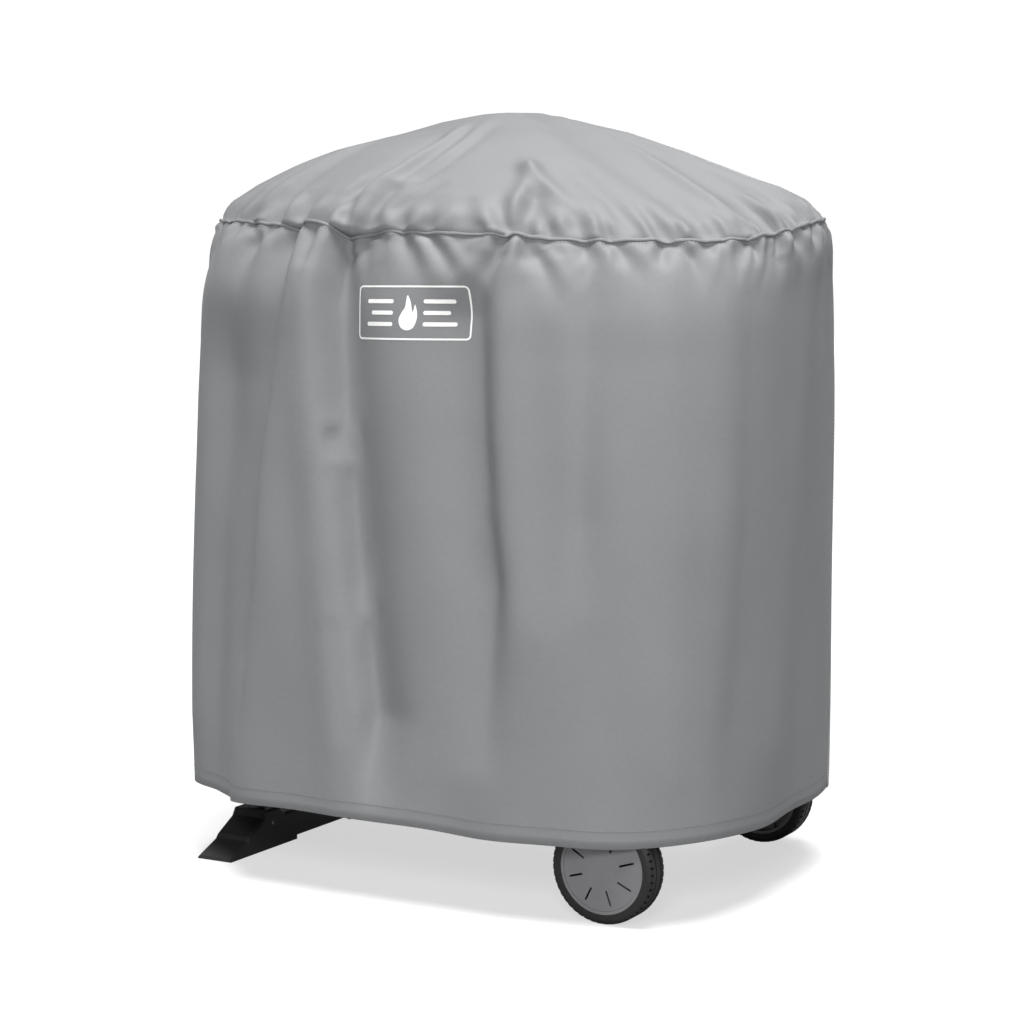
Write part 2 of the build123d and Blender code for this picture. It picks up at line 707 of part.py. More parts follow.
def cart_nodes():
    """Every fixed piece of the cart."""
    bolts, low_bolts = frame_bolts(), foot_bolts()
    shaft = axle()
    outlines = [
        leg_bar(LEFT_LEG_X, LEG_SOCKET_Z, LEG_RADIUS), leg_bar(RIGHT_LEG_X, RIGHT_LEG_LOW, LEG_RADIUS),
    ]
    rails = {
        "front_low_rail": rail(-LEG_Y, LOW_RAIL_Z, outlines),
        "back_low_rail": rail(LEG_Y, LOW_RAIL_Z, outlines),
        "front_top_rail": rail(-LEG_Y, TOP_RAIL_Z, outlines),
        "back_top_rail": rail(LEG_Y, TOP_RAIL_Z, outlines),
    }
    nodes = {
        "left_leg_frame": leg_frame(LEFT_LEG_X, LEG_SOCKET_Z) - bolts - low_bolts,
        "right_leg_frame": leg_frame(RIGHT_LEG_X, RIGHT_LEG_LOW) - bolts - shaft,
        "left_foot_bar": foot_bar() - low_bolts,
        "axle": shaft,
        "axle_spacers": on_axle(LEG_Y + LEG_RADIUS + 0.5, WHEEL_Y - 13.3, 8, AXLE_RADIUS),
        "axle_push_caps": on_axle(WHEEL_Y + 13.3, WHEEL_Y + 16, 11, AXLE_RADIUS),
        "leg_end_plugs": leg_end_plugs(),
        "frame_bolts": bolts,
        "foot_bolts": low_bolts,
        "shelf": shelf(),
    }
    for name, made in rails.items():
        nodes[name] = made - bolts
    return nodes


def grill_nodes():
    """Every fixed piece of the grill."""
    box_outline = tub_outline()
    lid_outline = body_through(LID_SECTIONS)
    grip = lid_handle()
    keep_clear = box_outline + lid_outline
    burner_ends = (BURNER_ENDS[0] - BURNER_CAP, BURNER_ENDS[1] + BURNER_CAP)
    burner_outline = rod((burner_ends[0], 0, BURNER_Z), (burner_ends[1], 0, BURNER_Z), BURNER_RADIUS)
    inside = tub_hollow()
    shelves = {side: side_shelf(side) for side in (-1, 1)}
    nodes = {
        "cook_box": tub(),
        "left_cook_box_rest": tub_rest(-TUB_REST_X),
        "right_cook_box_rest": tub_rest(TUB_REST_X),
        "drip_tray": drip_tray(),
        "cooking_grate": grate(),
        "grate_rests": grate_rests(inside),
        "lid": lid(),
        "lid_handle": grip,
        "lid_handle_posts": handle_posts(lid_outline, grip),
        "lid_hinge_leaves": hinge_leaves(True, keep_clear),
        "cook_box_hinge_leaves": hinge_leaves(False, keep_clear),
        "hinge_pins": hinge_pins(),
        "burner_tube": burner() - gas_feed_outline(),
        "burner_saddles": burner_brackets(burner_outline),
        "gas_feed_pipe": gas_feed() - burner_outline,
        "control_box": control_box() - box_outline,
        "valve_body": valve_body(),
        "left_side_shelf": shelves[-1],
        "right_side_shelf": shelves[1],
        "left_shelf_gussets": shelf_brackets(-1, box_outline + shelves[-1]),
        "right_shelf_gussets": shelf_brackets(1, box_outline + shelves[1]),
    }
    return nodes


def gas_feed_outline():
    """The feed pipe as a solid bar, for its hole in the burner."""
    return rod((KNOB_X, VALVE_BACK, BURNER_Z), (KNOB_X, -4, BURNER_Z), FEED_RADIUS)


def knob_nodes():
    """The knob and the spindle it turns."""
    shaft = spindle()
    return {"control_knob": knob(shaft), "knob_spindle": shaft}


def main():
    """Builds every piece and writes one file for each."""
    os.makedirs("parts", exist_ok=True)
    nodes = {
        **cover_nodes(), **cart_nodes(), **grill_nodes(), **knob_nodes(), **wheel(-1), **wheel(1),
    }
    for name, made in nodes.items():
        solids = ShapeList(made).solids() if isinstance(made, list) else made.solids()
        shape = Compound(children=list(solids)) if len(solids) > 1 else solids[0]
        shape.label = name
        export_step(shape, f"parts/{name}.step")
        print(name, len(solids), round(sum(s.volume for s in solids)))


main()
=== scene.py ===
"""A fitted cloth grill cover over a small cart grill: the cloth, its seams and every finish.

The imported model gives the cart, the wheels and the grill. This script adds the cover's cloth
panels, drapes them, sews and prints them, and dresses every piece. Lengths are in metres.
"""

import json
import logging
import math
from dataclasses import dataclass
from enum import Enum

import bmesh
import bpy
import numpy as np
from mathutils import Matrix, Vector
from mathutils.bvhtree import BVHTree


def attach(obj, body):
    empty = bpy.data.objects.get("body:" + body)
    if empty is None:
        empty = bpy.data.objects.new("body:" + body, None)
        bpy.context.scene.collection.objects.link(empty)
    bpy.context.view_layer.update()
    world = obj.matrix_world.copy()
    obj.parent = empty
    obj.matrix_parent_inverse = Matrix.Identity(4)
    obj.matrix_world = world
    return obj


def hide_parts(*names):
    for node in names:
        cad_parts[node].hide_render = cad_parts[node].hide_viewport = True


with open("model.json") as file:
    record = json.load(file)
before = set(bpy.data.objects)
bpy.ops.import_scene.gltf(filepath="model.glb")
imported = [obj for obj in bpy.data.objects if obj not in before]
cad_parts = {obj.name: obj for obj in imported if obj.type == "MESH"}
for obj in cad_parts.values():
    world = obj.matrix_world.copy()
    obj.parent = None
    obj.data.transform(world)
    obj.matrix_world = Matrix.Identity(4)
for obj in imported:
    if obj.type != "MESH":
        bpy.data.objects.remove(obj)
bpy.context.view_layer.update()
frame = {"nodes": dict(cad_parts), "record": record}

LOG = logging.getLogger("grill_cover")
FRONT_TURN = 270.0


# ------------------------------------------------------------------ finishes


class NodeBench:
    """A material's node tree with short ways to add and join nodes."""

    def __init__(self, name: str) -> None:
        """Starts a material called `name` with one principled shader."""
        self.material = bpy.data.materials.new(name)
        self.material.use_nodes = True
        self.tree = self.material.node_tree
        self.shader = self.tree.nodes["Principled BSDF"]

    def add(self, kind: str, **settings: object) -> bpy.types.Node:
        """Adds one node.

        Args:
            kind: The node's type name.
            settings: Properties to set on it.

        Returns:
            The new node.
        """
        node = self.tree.nodes.new(kind)
        for name, value in settings.items():
            setattr(node, name, value)
        return node

    def join(self, source: bpy.types.NodeSocket, target: bpy.types.NodeSocket) -> None:
        """Joins two sockets."""
        self.tree.links.new(source, target)

    def coordinates(self, uv_map: str = "") -> bpy.types.NodeSocket:
        """The piece's own coordinates: its UV map if one is named, else Object."""
        if uv_map:
            return self.add("ShaderNodeUVMap", uv_map=uv_map).outputs["UV"]
        return self.add("ShaderNodeTexCoord").outputs["Object"]

    def noise(self, where: bpy.types.NodeSocket, scale: float, detail: float = 3.0,
              stretch: tuple[float, float, float] = (1, 1, 1)) -> bpy.types.NodeSocket:
        """A noise pattern.

        Args:
            where: Coordinates.
            scale: Noise scale.
            detail: Noise detail.
            stretch: Scale along each axis before the noise.

        Returns:
            The pattern's value socket.
        """
        mapping = self.add("ShaderNodeMapping")
        mapping.inputs["Scale"].default_value = stretch
        self.join(where, mapping.inputs["Vector"])
        node = self.add("ShaderNodeTexNoise")
        node.inputs["Scale"].default_value = scale
        node.inputs["Detail"].default_value = detail
        self.join(mapping.outputs["Vector"], node.inputs["Vector"])
        return node.outputs["Fac"]

    def spread(self, value: bpy.types.NodeSocket, low: float, high: float) -> bpy.types.NodeSocket:
        """Maps a 0 to 1 value to low to high."""
        node = self.add("ShaderNodeMapRange")
        node.inputs["From Min"].default_value = 0.25
        node.inputs["From Max"].default_value = 0.75
        node.inputs["To Min"].default_value = low
        node.inputs["To Max"].default_value = high
        self.join(value, node.inputs["Value"])
        return node.outputs["Result"]

    def tint(self, value: bpy.types.NodeSocket, low: tuple[float, ...],
             high: tuple[float, ...]) -> bpy.types.NodeSocket:
        """Blends two colours by a value.

        Args:
            value: From 0 to 1.
            low: Colour at 0.25 and under.
            high: Colour at 0.75 and over.

        Returns:
            The colour socket.
        """
        ramp = self.add("ShaderNodeValToRGB")
        ramp.color_ramp.elements[0].position = 0.25
        ramp.color_ramp.elements[0].color = (*low, 1)
        ramp.color_ramp.elements[1].position = 0.75
        ramp.color_ramp.elements[1].color = (*high, 1)
        self.join(value, ramp.inputs["Fac"])
        return ramp.outputs["Color"]

    def bump(self, height: bpy.types.NodeSocket, distance: float, strength: float,
             under: bpy.types.NodeSocket | None = None) -> bpy.types.NodeSocket:
        """A bump layer, over another one if given.

        Args:
            height: The pattern.
            distance: Its depth in metres.
            strength: Its strength.
            under: The normal of the layer below.

        Returns:
            The normal socket.
        """
        node = self.add("ShaderNodeBump")
        node.inputs["Distance"].default_value = distance
        node.inputs["Strength"].default_value = strength
        self.join(height, node.inputs["Height"])
        if under is not None:
            self.join(under, node.inputs["Normal"])
        return node.outputs["Normal"]


def shade(colour: tuple[float, float, float], factor: float) -> tuple[float, float, float]:
    """A colour made darker or lighter by a factor."""
    return tuple(min(1.0, channel * factor) for channel in colour)


@dataclass(frozen=True)
class ClothFinish:
    """Fine plain-woven polyester with a light coating."""

    name: str
    colour: tuple[float, float, float]
    roughness: float = 0.58
    sheen: float = 0.03
    yarn: float = 0.0007

    def material(self) -> bpy.types.Material:
        """Builds the woven material, laid out on the panel's own cut."""
        bench = NodeBench(self.name)
        cut = bench.coordinates("cut")
        wide = bench.noise(cut, 7.0, 4.0)
        fine = bench.noise(cut, 160.0, 2.0)
        mixed = bench.add("ShaderNodeMath", operation="MULTIPLY_ADD")
        bench.join(fine, mixed.inputs[0])
        mixed.inputs[1].default_value = 0.35
        scaled = bench.add("ShaderNodeMath", operation="MULTIPLY")
        bench.join(wide, scaled.inputs[0])
        scaled.inputs[1].default_value = 0.65
        bench.join(scaled.outputs[0], mixed.inputs[2])
        colour = bench.tint(mixed.outputs[0], shade(self.colour, 0.93), shade(self.colour, 1.07))
        bench.join(colour, bench.shader.inputs["Base Color"])
        bench.join(bench.spread(wide, self.roughness - 0.04, self.roughness + 0.06),
                   bench.shader.inputs["Roughness"])
        bench.shader.inputs["Sheen Weight"].default_value = self.sheen
        bench.shader.inputs["Sheen Roughness"].default_value = 0.45
        bench.shader.inputs["Specular IOR Level"].default_value = 0.28
        bench.join(self._weave(bench, cut, fine), bench.shader.inputs["Normal"])
        return bench.material

    def _weave(self, bench: NodeBench, cut: bpy.types.NodeSocket,
               fine: bpy.types.NodeSocket) -> bpy.types.NodeSocket:
        """The over-and-under of warp and weft, with a faint cockle over it.

        Args:
            bench: The material being built.
            cut: The cut coordinates, in metres.
            fine: A fine noise.

        Returns:
            The normal socket.
        """
        waves = []
        for direction in ("X", "Y"):
            wave = bench.add("ShaderNodeTexWave", wave_type="BANDS", bands_direction=direction)
            wave.inputs["Scale"].default_value = 0.314 / self.yarn
            wave.inputs["Distortion"].default_value = 0.3
            bench.join(cut, wave.inputs["Vector"])
            waves.append(wave.outputs["Fac"])
        weave = bench.add("ShaderNodeMath", operation="MULTIPLY")
        bench.join(waves[0], weave.inputs[0])
        bench.join(waves[1], weave.inputs[1])
        cockle = bench.noise(cut, 26.0, 3.0, (1.0, 0.6, 1.0))
        normal = bench.bump(cockle, 0.0016, 0.35)
        normal = bench.bump(fine, 0.0003, 0.25, normal)
        return bench.bump(weave.outputs[0], 0.00012, 0.35, normal)


@dataclass(frozen=True)
class ThreadFinish:
    """Twisted sewing thread."""

    name: str
    colour: tuple[float, float, float]

    def material(self) -> bpy.types.Material:
        """Builds the thread material."""
        bench = NodeBench(self.name)
        where = bench.coordinates()
        strand = bench.noise(where, 900.0, 2.0)
        colour = bench.tint(strand, shade(self.colour, 0.8), shade(self.colour, 1.15))
        bench.join(colour, bench.shader.inputs["Base Color"])
        bench.shader.inputs["Roughness"].default_value = 0.6
        bench.join(bench.bump(strand, 0.0002, 0.4), bench.shader.inputs["Normal"])
        return bench.material


@dataclass(frozen=True)
class InkFinish:
    """Screen-printed ink that lets the weave show a little."""

    name: str
    colour: tuple[float, float, float]

    def material(self) -> bpy.types.Material:
        """Builds the ink material."""
        bench = NodeBench(self.name)
        where = bench.coordinates()
        patch = bench.noise(where, 300.0, 4.0)
        colour = bench.tint(patch, shade(self.colour, 0.93), self.colour)
        bench.join(colour, bench.shader.inputs["Base Color"])
        bench.join(bench.spread(patch, 0.5, 0.62), bench.shader.inputs["Roughness"])
        bench.join(bench.bump(patch, 0.00015, 0.3), bench.shader.inputs["Normal"])
        return bench.material


class Grain(Enum):
    """How a hard surface is grained."""

    MOULDED = "moulded"
    POWDER = "powder"
    DRAWN = "drawn"
    CAST = "cast"


@dataclass(frozen=True)
class HardFinish:
    """A hard surface: plastic, painted or bare metal, rubber or enamel."""

    name: str
    colour: tuple[float, float, float]
    grain: Grain
    roughness: float
    metallic: float = 0.0
    coat: float = 0.0

    def material(self) -> bpy.types.Material:
        """Builds the material from its grain."""
        bench = NodeBench(self.name)
        where = bench.coordinates()
        stretch = (1, 1, 12) if self.grain is Grain.DRAWN else (1, 1, 1)
        scale, depth = {
            Grain.MOULDED: (900.0, 0.00006),
            Grain.POWDER: (520.0, 0.00008),
            Grain.DRAWN: (260.0, 0.00003),
            Grain.CAST: (240.0, 0.0003),
        }[self.grain]
        wear = bench.noise(where, 9.0, 5.0)
        grain = bench.noise(where, scale, 2.0, stretch)
        colour = bench.tint(wear, shade(self.colour, 0.86), shade(self.colour, 1.18))
        bench.join(colour, bench.shader.inputs["Base Color"])
        bench.join(bench.spread(wear, self.roughness - 0.05, self.roughness + 0.09),
                   bench.shader.inputs["Roughness"])
        bench.shader.inputs["Metallic"].default_value = self.metallic
        bench.shader.inputs["Coat Weight"].default_value = self.coat
        bench.join(bench.bump(grain, depth, 0.5), bench.shader.inputs["Normal"])
        return bench.material


COVER_CLOTH = ClothFinish("cover_cloth", (0.196, 0.200, 0.206))
BINDING_TAPE = ClothFinish("binding_tape", (0.27, 0.275, 0.283), 0.6, 0.2, 0.0011)
SEAM_THREAD = ThreadFinish("seam_thread", (0.16, 0.165, 0.17))
EMBLEM_INK = InkFinish("emblem_ink", (0.86, 0.86, 0.85))
SLOT_FINISHES = {
    "tyre_rubber": HardFinish("tyre_rubber", (0.007, 0.007, 0.0074), Grain.MOULDED, 0.66),
    "wheel_plastic": HardFinish("wheel_plastic", (0.165, 0.165, 0.172), Grain.MOULDED, 0.5),
    "bush_plastic": HardFinish("bush_plastic", (0.09, 0.09, 0.09), Grain.MOULDED, 0.45),
    "foot_plastic": HardFinish("foot_plastic", (0.022, 0.022, 0.0228), Grain.MOULDED, 0.48),
    "frame_paint": HardFinish("frame_paint", (0.022, 0.022, 0.023), Grain.POWDER, 0.42),
    "zinc_steel": HardFinish("zinc_steel", (0.56, 0.57, 0.58), Grain.DRAWN, 0.34, 1.0),
    "enamel": HardFinish("enamel", (0.014, 0.014, 0.015), Grain.POWDER, 0.2, 0.0, 0.6),
    "grate_iron": HardFinish("grate_iron", (0.05, 0.048, 0.046), Grain.CAST, 0.6, 0.7),
    "handle_plastic": HardFinish("handle_plastic", (0.02, 0.02, 0.021), Grain.MOULDED, 0.4),
    "burner_steel": HardFinish("burner_steel", (0.42, 0.41, 0.40), Grain.DRAWN, 0.42, 1.0),
    "valve_brass": HardFinish("valve_brass", (0.62, 0.46, 0.2), Grain.DRAWN, 0.35, 1.0),
}


# ------------------------------------------------------------------ the cover's form


@dataclass(frozen=True)
class Section:
    """A level superellipse: its height, half width, half depth and squareness."""

    height: float
    half_width: float
    half_depth: float
    squareness: float


@dataclass(frozen=True)
class WallFold:
    """An upright fold in the wall.

    Its line gives, from the top down, pairs of height and distance round from the front middle.
    A fold stands out by `depth`, or sinks in if that is negative.
    """

    line: tuple[tuple[float, float], ...]
    depth: float
    left: float
    right: float
    fade: float = 0.12
    top_fade: float = 0.06


@dataclass(frozen=True)
class CrownFold:
    """A fold in the crown between two points, each a turn in degrees and a share of the rise."""

    start: tuple[float, float]
    end: tuple[float, float]
    depth: float
    width: float


@dataclass(frozen=True)
class Pucker:
    """A gather at the crown seam: where it is, how deep, how wide, and how far it runs."""

    turn: float
    depth: float
    width: float
    down: float
    up: float
    slant: float = 0.0


@dataclass
class CoverForm:
    """The hanging shape of the cover as a smooth surface with its folds."""

    wall: tuple[Section, ...] = (
        Section(0.104, 0.418, 0.312, 3.8),
        Section(0.300, 0.426, 0.300, 3.5),
        Section(0.550, 0.436, 0.285, 3.1),
        Section(0.700, 0.4425, 0.272, 2.83),
        Section(0.780, 0.4455, 0.263, 2.63),
        Section(0.830, 0.4500, 0.251, 2.3),
        Section(0.862, 0.4440, 0.239, 2.1),
    )
    crown: tuple[Section, ...] = (
        Section(0.862, 0.4440, 0.239, 2.1),
        Section(0.885, 0.4210, 0.227, 2.1),
        Section(0.908, 0.3850, 0.210, 2.05),
        Section(0.935, 0.3240, 0.185, 2.0),
        Section(0.962, 0.2600, 0.154, 2.0),
        Section(0.990, 0.1800, 0.112, 2.0),
        Section(1.012, 0.1000, 0.066, 2.0),
        Section(1.022, 0.0400, 0.027, 2.0),
        Section(1.0245, 0.0, 0.0, 2.0),
    )
    # Turn and height of the crown seam: highest at the left end, lowest at the front right.
    seam: tuple[tuple[float, float], ...] = (
        (0, 0.873), (30, 0.878), (90, 0.868), (150, 0.880), (200, 0.883), (232, 0.876), (252, 0.866),
        (270, 0.859), (286, 0.852), (305, 0.846), (328, 0.847), (345, 0.859), (360, 0.873),
    )
    folds: tuple[WallFold, ...] = (
        # The left front corner is slack, so the cloth falls nearly flat from the end to a long ridge.
        WallFold(((0.66, -0.325), (0.50, -0.330), (0.104, -0.345)), -0.030, 0.062, 0.095, 0.3, 0.15),
        # The ridge itself, with a hollow on its left.
        WallFold(((0.87, -0.173), (0.77, -0.179), (0.54, -0.213), (0.37, -0.224), (0.12, -0.262)),
                 0.016, 0.020, 0.060),
        WallFold(((0.87, -0.208), (0.77, -0.213), (0.54, -0.249), (0.37, -0.265), (0.30, -0.27)),
                 -0.014, 0.034, 0.020),
        # The long hollow that drifts from the left of the emblem to the middle of the hem.
        WallFold(((0.85, -0.118), (0.64, -0.098), (0.39, -0.062), (0.24, -0.036)), -0.029, 0.018, 0.050),
        WallFold(((0.80, -0.150), (0.64, -0.144), (0.39, -0.117), (0.2, -0.09)), 0.007, 0.03, 0.02),
        # The hollow under the right end of the emblem.
        WallFold(((0.75, 0.094), (0.60, 0.108), (0.49, 0.122), (0.42, 0.134)), -0.022, 0.060, 0.020, 0.24),
        WallFold(((0.84, 0.131), (0.60, 0.147), (0.49, 0.160), (0.36, 0.178)), 0.008, 0.022, 0.035, 0.22),
        # Two slight folds towards the front right corner.
        WallFold(((0.76, 0.247), (0.60, 0.252), (0.50, 0.255)), -0.005, 0.016, 0.026),
        WallFold(((0.80, 0.35), (0.5, 0.37), (0.2, 0.37)), 0.004, 0.05, 0.03),
        WallFold(((0.82, 0.47), (0.5, 0.48), (0.25, 0.47)), -0.006, 0.03, 0.04),
        # The left end, the right end and the back hang in broad soft folds.
        WallFold(((0.84, -0.36), (0.5, -0.38), (0.2, -0.39)), 0.006, 0.05, 0.03),
        WallFold(((0.82, -0.45), (0.5, -0.47), (0.25, -0.48)), -0.009, 0.04, 0.03),
        WallFold(((0.83, 0.60), (0.5, 0.58), (0.2, 0.56)), 0.007, 0.04, 0.05),
        WallFold(((0.83, 0.88), (0.55, 0.91), (0.2, 0.93)), -0.012, 0.03, 0.05),
        WallFold(((0.83, 0.97), (0.5, 1.00), (0.2, 1.02)), 0.008, 0.05, 0.03),
        WallFold(((0.83, -0.90), (0.6, -0.93), (0.25, -0.97)), -0.013, 0.045, 0.03),
        WallFold(((0.80, -1.02), (0.5, -1.04), (0.2, -1.03)), 0.008, 0.03, 0.05),
        WallFold(((0.83, -1.12), (0.5, -1.10), (0.2, -1.12)), -0.010, 0.035, 0.04),
    )
    crown_folds: tuple[CrownFold, ...] = (
        # The cloth stands out over the lid's handle.
        CrownFold((268, 0.05), (268.5, 0.20), 0.0065, 0.120),
        CrownFold((253.5, 0.02), (264, 0.66), 0.0075, 0.009),
        CrownFold((250, 0.0), (259, 0.55), -0.006, 0.010),
        CrownFold((258.5, 0.0), (268, 0.60), -0.007, 0.010),
        CrownFold((262, 0.22), (276, 0.74), 0.0045, 0.009),
        CrownFold((266, 0.26), (279, 0.66), -0.004, 0.009),
        CrownFold((236, 0.0), (228, 0.42), -0.006, 0.012),
        CrownFold((231, 0.0), (222, 0.45), 0.005, 0.010),
        CrownFold((214, 0.0), (205, 0.35), -0.006, 0.012),
        CrownFold((224, 0.02), (212, 0.40), -0.005, 0.010),
        CrownFold((265, 0.06), (271, 0.20), -0.004, 0.009),
        CrownFold((286, 0.0), (294, 0.33), 0.009, 0.010),
        CrownFold((294, 0.33), (301, 0.05), 0.006, 0.012),
        CrownFold((289, 0.02), (292, 0.14), -0.010, 0.012),
        CrownFold((333, 0.06), (340, 0.84), 0.006, 0.013),
        CrownFold((340, 0.05), (350, 0.80), -0.006, 0.016),
        CrownFold((324, 0.10), (318, 0.80), -0.004, 0.020),
        CrownFold((358, 0.04), (352, 0.75), 0.005, 0.014),
        CrownFold((310, 0.02), (306, 0.35), -0.004, 0.014),
        CrownFold((40, 0.02), (32, 0.6), 0.006, 0.013),
        CrownFold((62, 0.02), (70, 0.55), -0.006, 0.014),
        CrownFold((88, 0.02), (84, 0.6), 0.005, 0.014),
        CrownFold((117, 0.02), (110, 0.6), -0.006, 0.012),
        CrownFold((141, 0.02), (150, 0.6), 0.006, 0.013),
        CrownFold((170, 0.02), (164, 0.5), -0.005, 0.013),
    )
    puckers: tuple[Pucker, ...] = (
        Pucker(217, 0.006, 1.8, 0.05, 0.05),
        Pucker(234, 0.009, 1.5, 0.10, 0.06, -1.0),
        Pucker(243.5, 0.007, 1.3, 0.05, 0.05),
        Pucker(254.5, 0.010, 1.1, 0.10, 0.08, 0.5),
        Pucker(267, 0.006, 1.1, 0.055, 0.03, 4.0),
        Pucker(272.5, 0.007, 1.0, 0.06, 0.03, 5.0),
        Pucker(286.5, 0.013, 1.1, 0.085, 0.04, -3.0),
        Pucker(290.0, 0.006, 0.9, 0.07, 0.03, 4.0),
        Pucker(300.0, 0.008, 1.2, 0.04, 0.05, 0.0),
        Pucker(334, 0.007, 2.0, 0.02, 0.07, 0.0),
        Pucker(340, 0.009, 1.7, 0.05, 0.06, -1.0),
        Pucker(349, 0.010, 1.9, 0.05, 0.05, 1.0),
        Pucker(357, 0.009, 2.0, 0.05, 0.04, 0.0),
        Pucker(368, 0.010, 2.0, 0.06, 0.05, 0.0),
    )
    crown_depth: float = 1.5
    crown_hollow: float = 0.007
    gathers: int = 150
    seed: int = 7

    def __post_init__(self) -> None:
        """Works out the distance round the cover for each turn, from the front middle."""
        turns = np.radians(np.arange(0.0, 360.25, 0.25))
        middle = self.wall[2]
        x, y = self._plan(turns, middle.half_width, middle.half_depth, middle.squareness)
        steps = np.hypot(np.diff(x), np.diff(y))
        self._round_turns = np.degrees(turns)
        self._round = np.concatenate([[0.0], np.cumsum(steps)])
        self.girth = float(self._round[-1])
        rng = np.random.default_rng(self.seed)
        self._gather_turn = np.sort(rng.uniform(0, 360, self.gathers))
        self._gather_depth = rng.uniform(0.0014, 0.0056, self.gathers)
        self._gather_width = rng.uniform(0.55, 1.5, self.gathers)
        self._gather_down = rng.uniform(0.012, 0.055, self.gathers)
        self._gather_up = rng.uniform(0.012, 0.060, self.gathers)
        self._gather_slant = rng.uniform(-5.0, 5.0, self.gathers)

    @staticmethod
    def _plan(turns: np.ndarray, half_width: np.ndarray, half_depth: np.ndarray,
              squareness: np.ndarray) -> tuple[np.ndarray, np.ndarray]:
        """Points on superellipses.

        Args:
            turns: Turns in radians.
            half_width: Half widths.
            half_depth: Half depths.
            squareness: Exponents.

        Returns:
            x and y.
        """
        across, along = np.cos(turns), np.sin(turns)
        reach = (np.abs(across) ** squareness + np.abs(along) ** squareness) ** (-1 / squareness)
        return half_width * reach * across, half_depth * reach * along

    @staticmethod
    def _read(sections: tuple[Section, ...], height: np.ndarray) -> tuple[np.ndarray, ...]:
        """Half width, half depth and squareness at some heights, eased between sections."""
        heights = np.array([s.height for s in sections])
        columns = np.array([[s.half_width, s.half_depth, s.squareness] for s in sections])
        slopes = np.gradient(columns, heights, axis=0)
        place = np.clip(np.searchsorted(heights, height) - 1, 0, len(heights) - 2)
        step = heights[place + 1] - heights[place]
        t = np.clip((height - heights[place]) / step, 0, 1)
        h00, h10 = 2 * t**3 - 3 * t**2 + 1, t**3 - 2 * t**2 + t
        h01, h11 = -2 * t**3 + 3 * t**2, t**3 - t**2
        return tuple(
            h00 * columns[place, k] + h10 * step * slopes[place, k]
            + h01 * columns[place + 1, k] + h11 * step * slopes[place + 1, k]
            for k in range(3)
        )

    def round_from_front(self, turns: np.ndarray) -> np.ndarray:
        """Signed distance round the wall from the front middle, positive to the right."""
        here = np.interp(np.mod(turns, 360), self._round_turns, self._round)
        away = here - np.interp(FRONT_TURN, self._round_turns, self._round)
        return np.mod(away + self.girth / 2, self.girth) - self.girth / 2

    def seam_height(self, turns: np.ndarray) -> np.ndarray:
        """Height of the crown seam at each turn, in degrees."""
        known = np.array([t for t, _ in self.seam])
        heights = np.array([h for _, h in self.seam])
        fine = np.arange(0.0, 360.0, 1.0)
        rough = np.interp(fine, known, heights)
        window = np.exp(-0.5 * (np.arange(-15, 16) / 6.0) ** 2)
        smooth = np.convolve(np.concatenate([rough[-15:], rough, rough[:15]]), window / window.sum(), "valid")
        return np.interp(np.mod(turns, 360), np.append(fine, 360.0), np.append(smooth, smooth[0]))

    def smooth_point(self, turns: np.ndarray, rise: np.ndarray) -> np.ndarray:
        """The cover without folds.

        Args:
            turns: Turns in degrees.
            rise: 0 at the hem, 1 at the crown seam, 2 at the top.

        Returns:
            Points, one row for each.
        """
        base, seam_level, top = self.wall[0].height, self.wall[-1].height, self.crown[-1].height
        wall_height = base + (seam_level - base) * np.clip(rise, 0, 1)
        # The crown's rows bunch towards the flat top, where its height hardly changes.
        inward = np.clip(rise - 1, 0, 1)
        crown_widths = np.array([s.half_width for s in self.crown])[::-1]
        crown_heights = np.array([s.height for s in self.crown])[::-1]
        crown_height = np.interp((1 - inward) * self.crown[0].half_width, crown_widths, crown_heights)
        on_wall = rise <= 1
        from_wall = self._read(self.wall, wall_height)
        from_crown = self._read(self.crown, crown_height)
        a, b, n = (np.where(on_wall, w, c) for w, c in zip(from_wall, from_crown))
        shrink = np.where(on_wall, 1.0, np.clip(crown_widths[-1] * (1 - inward) / np.maximum(a, 1e-6), 0, 1))
        a, b = np.where(on_wall, a, a * shrink), np.where(on_wall, b, np.maximum(b, 0) * shrink)
        x, y = self._plan(np.radians(turns), a, b, np.maximum(n, 1.9))
        z = np.where(on_wall, wall_height, crown_height)
        share = np.where(on_wall, np.clip((rise - 0.55) / 0.45, 0, 1), np.clip(1 - inward / 0.8, 0, 1))
        share = share * share * (3 - 2 * share)
        z = z + share * (self.seam_height(turns) - seam_level)
        z = z + self._crown_fullness(turns, inward)
        z = z + self._hem_lift(turns) * np.clip(1 - rise / 0.3, 0, 1) ** 2
        return np.stack([x, y, z], axis=-1)

    def _crown_fullness(self, turns: np.ndarray, inward: np.ndarray) -> np.ndarray:
        """How far the crown stands over its sections: full over the left shelf, slack at the right."""
        left = np.clip(np.cos(np.radians(turns - 190)), 0, 1) ** 2
        right = np.clip(np.cos(np.radians(turns - 0)), 0, 1) ** 2
        belly = np.sin(np.pi * np.clip(inward / 0.62, 0, 1)) ** 1.2
        return belly * (0.008 * left - 0.003 * right)

    def _hem_lift(self, turns: np.ndarray) -> np.ndarray:
        """The hem's own slight waves."""
        s = self.round_from_front(turns)
        wave = 0.0016 * np.sin(s * 19.0) + 0.0012 * np.sin(s * 31.0 + 1.0)
        raised = 0.0055 * np.exp(-(((s + 0.10) / 0.075) ** 2))
        lowered = 0.003 * np.exp(-(((s - 0.16) / 0.1) ** 2))
        return wave + raised - lowered

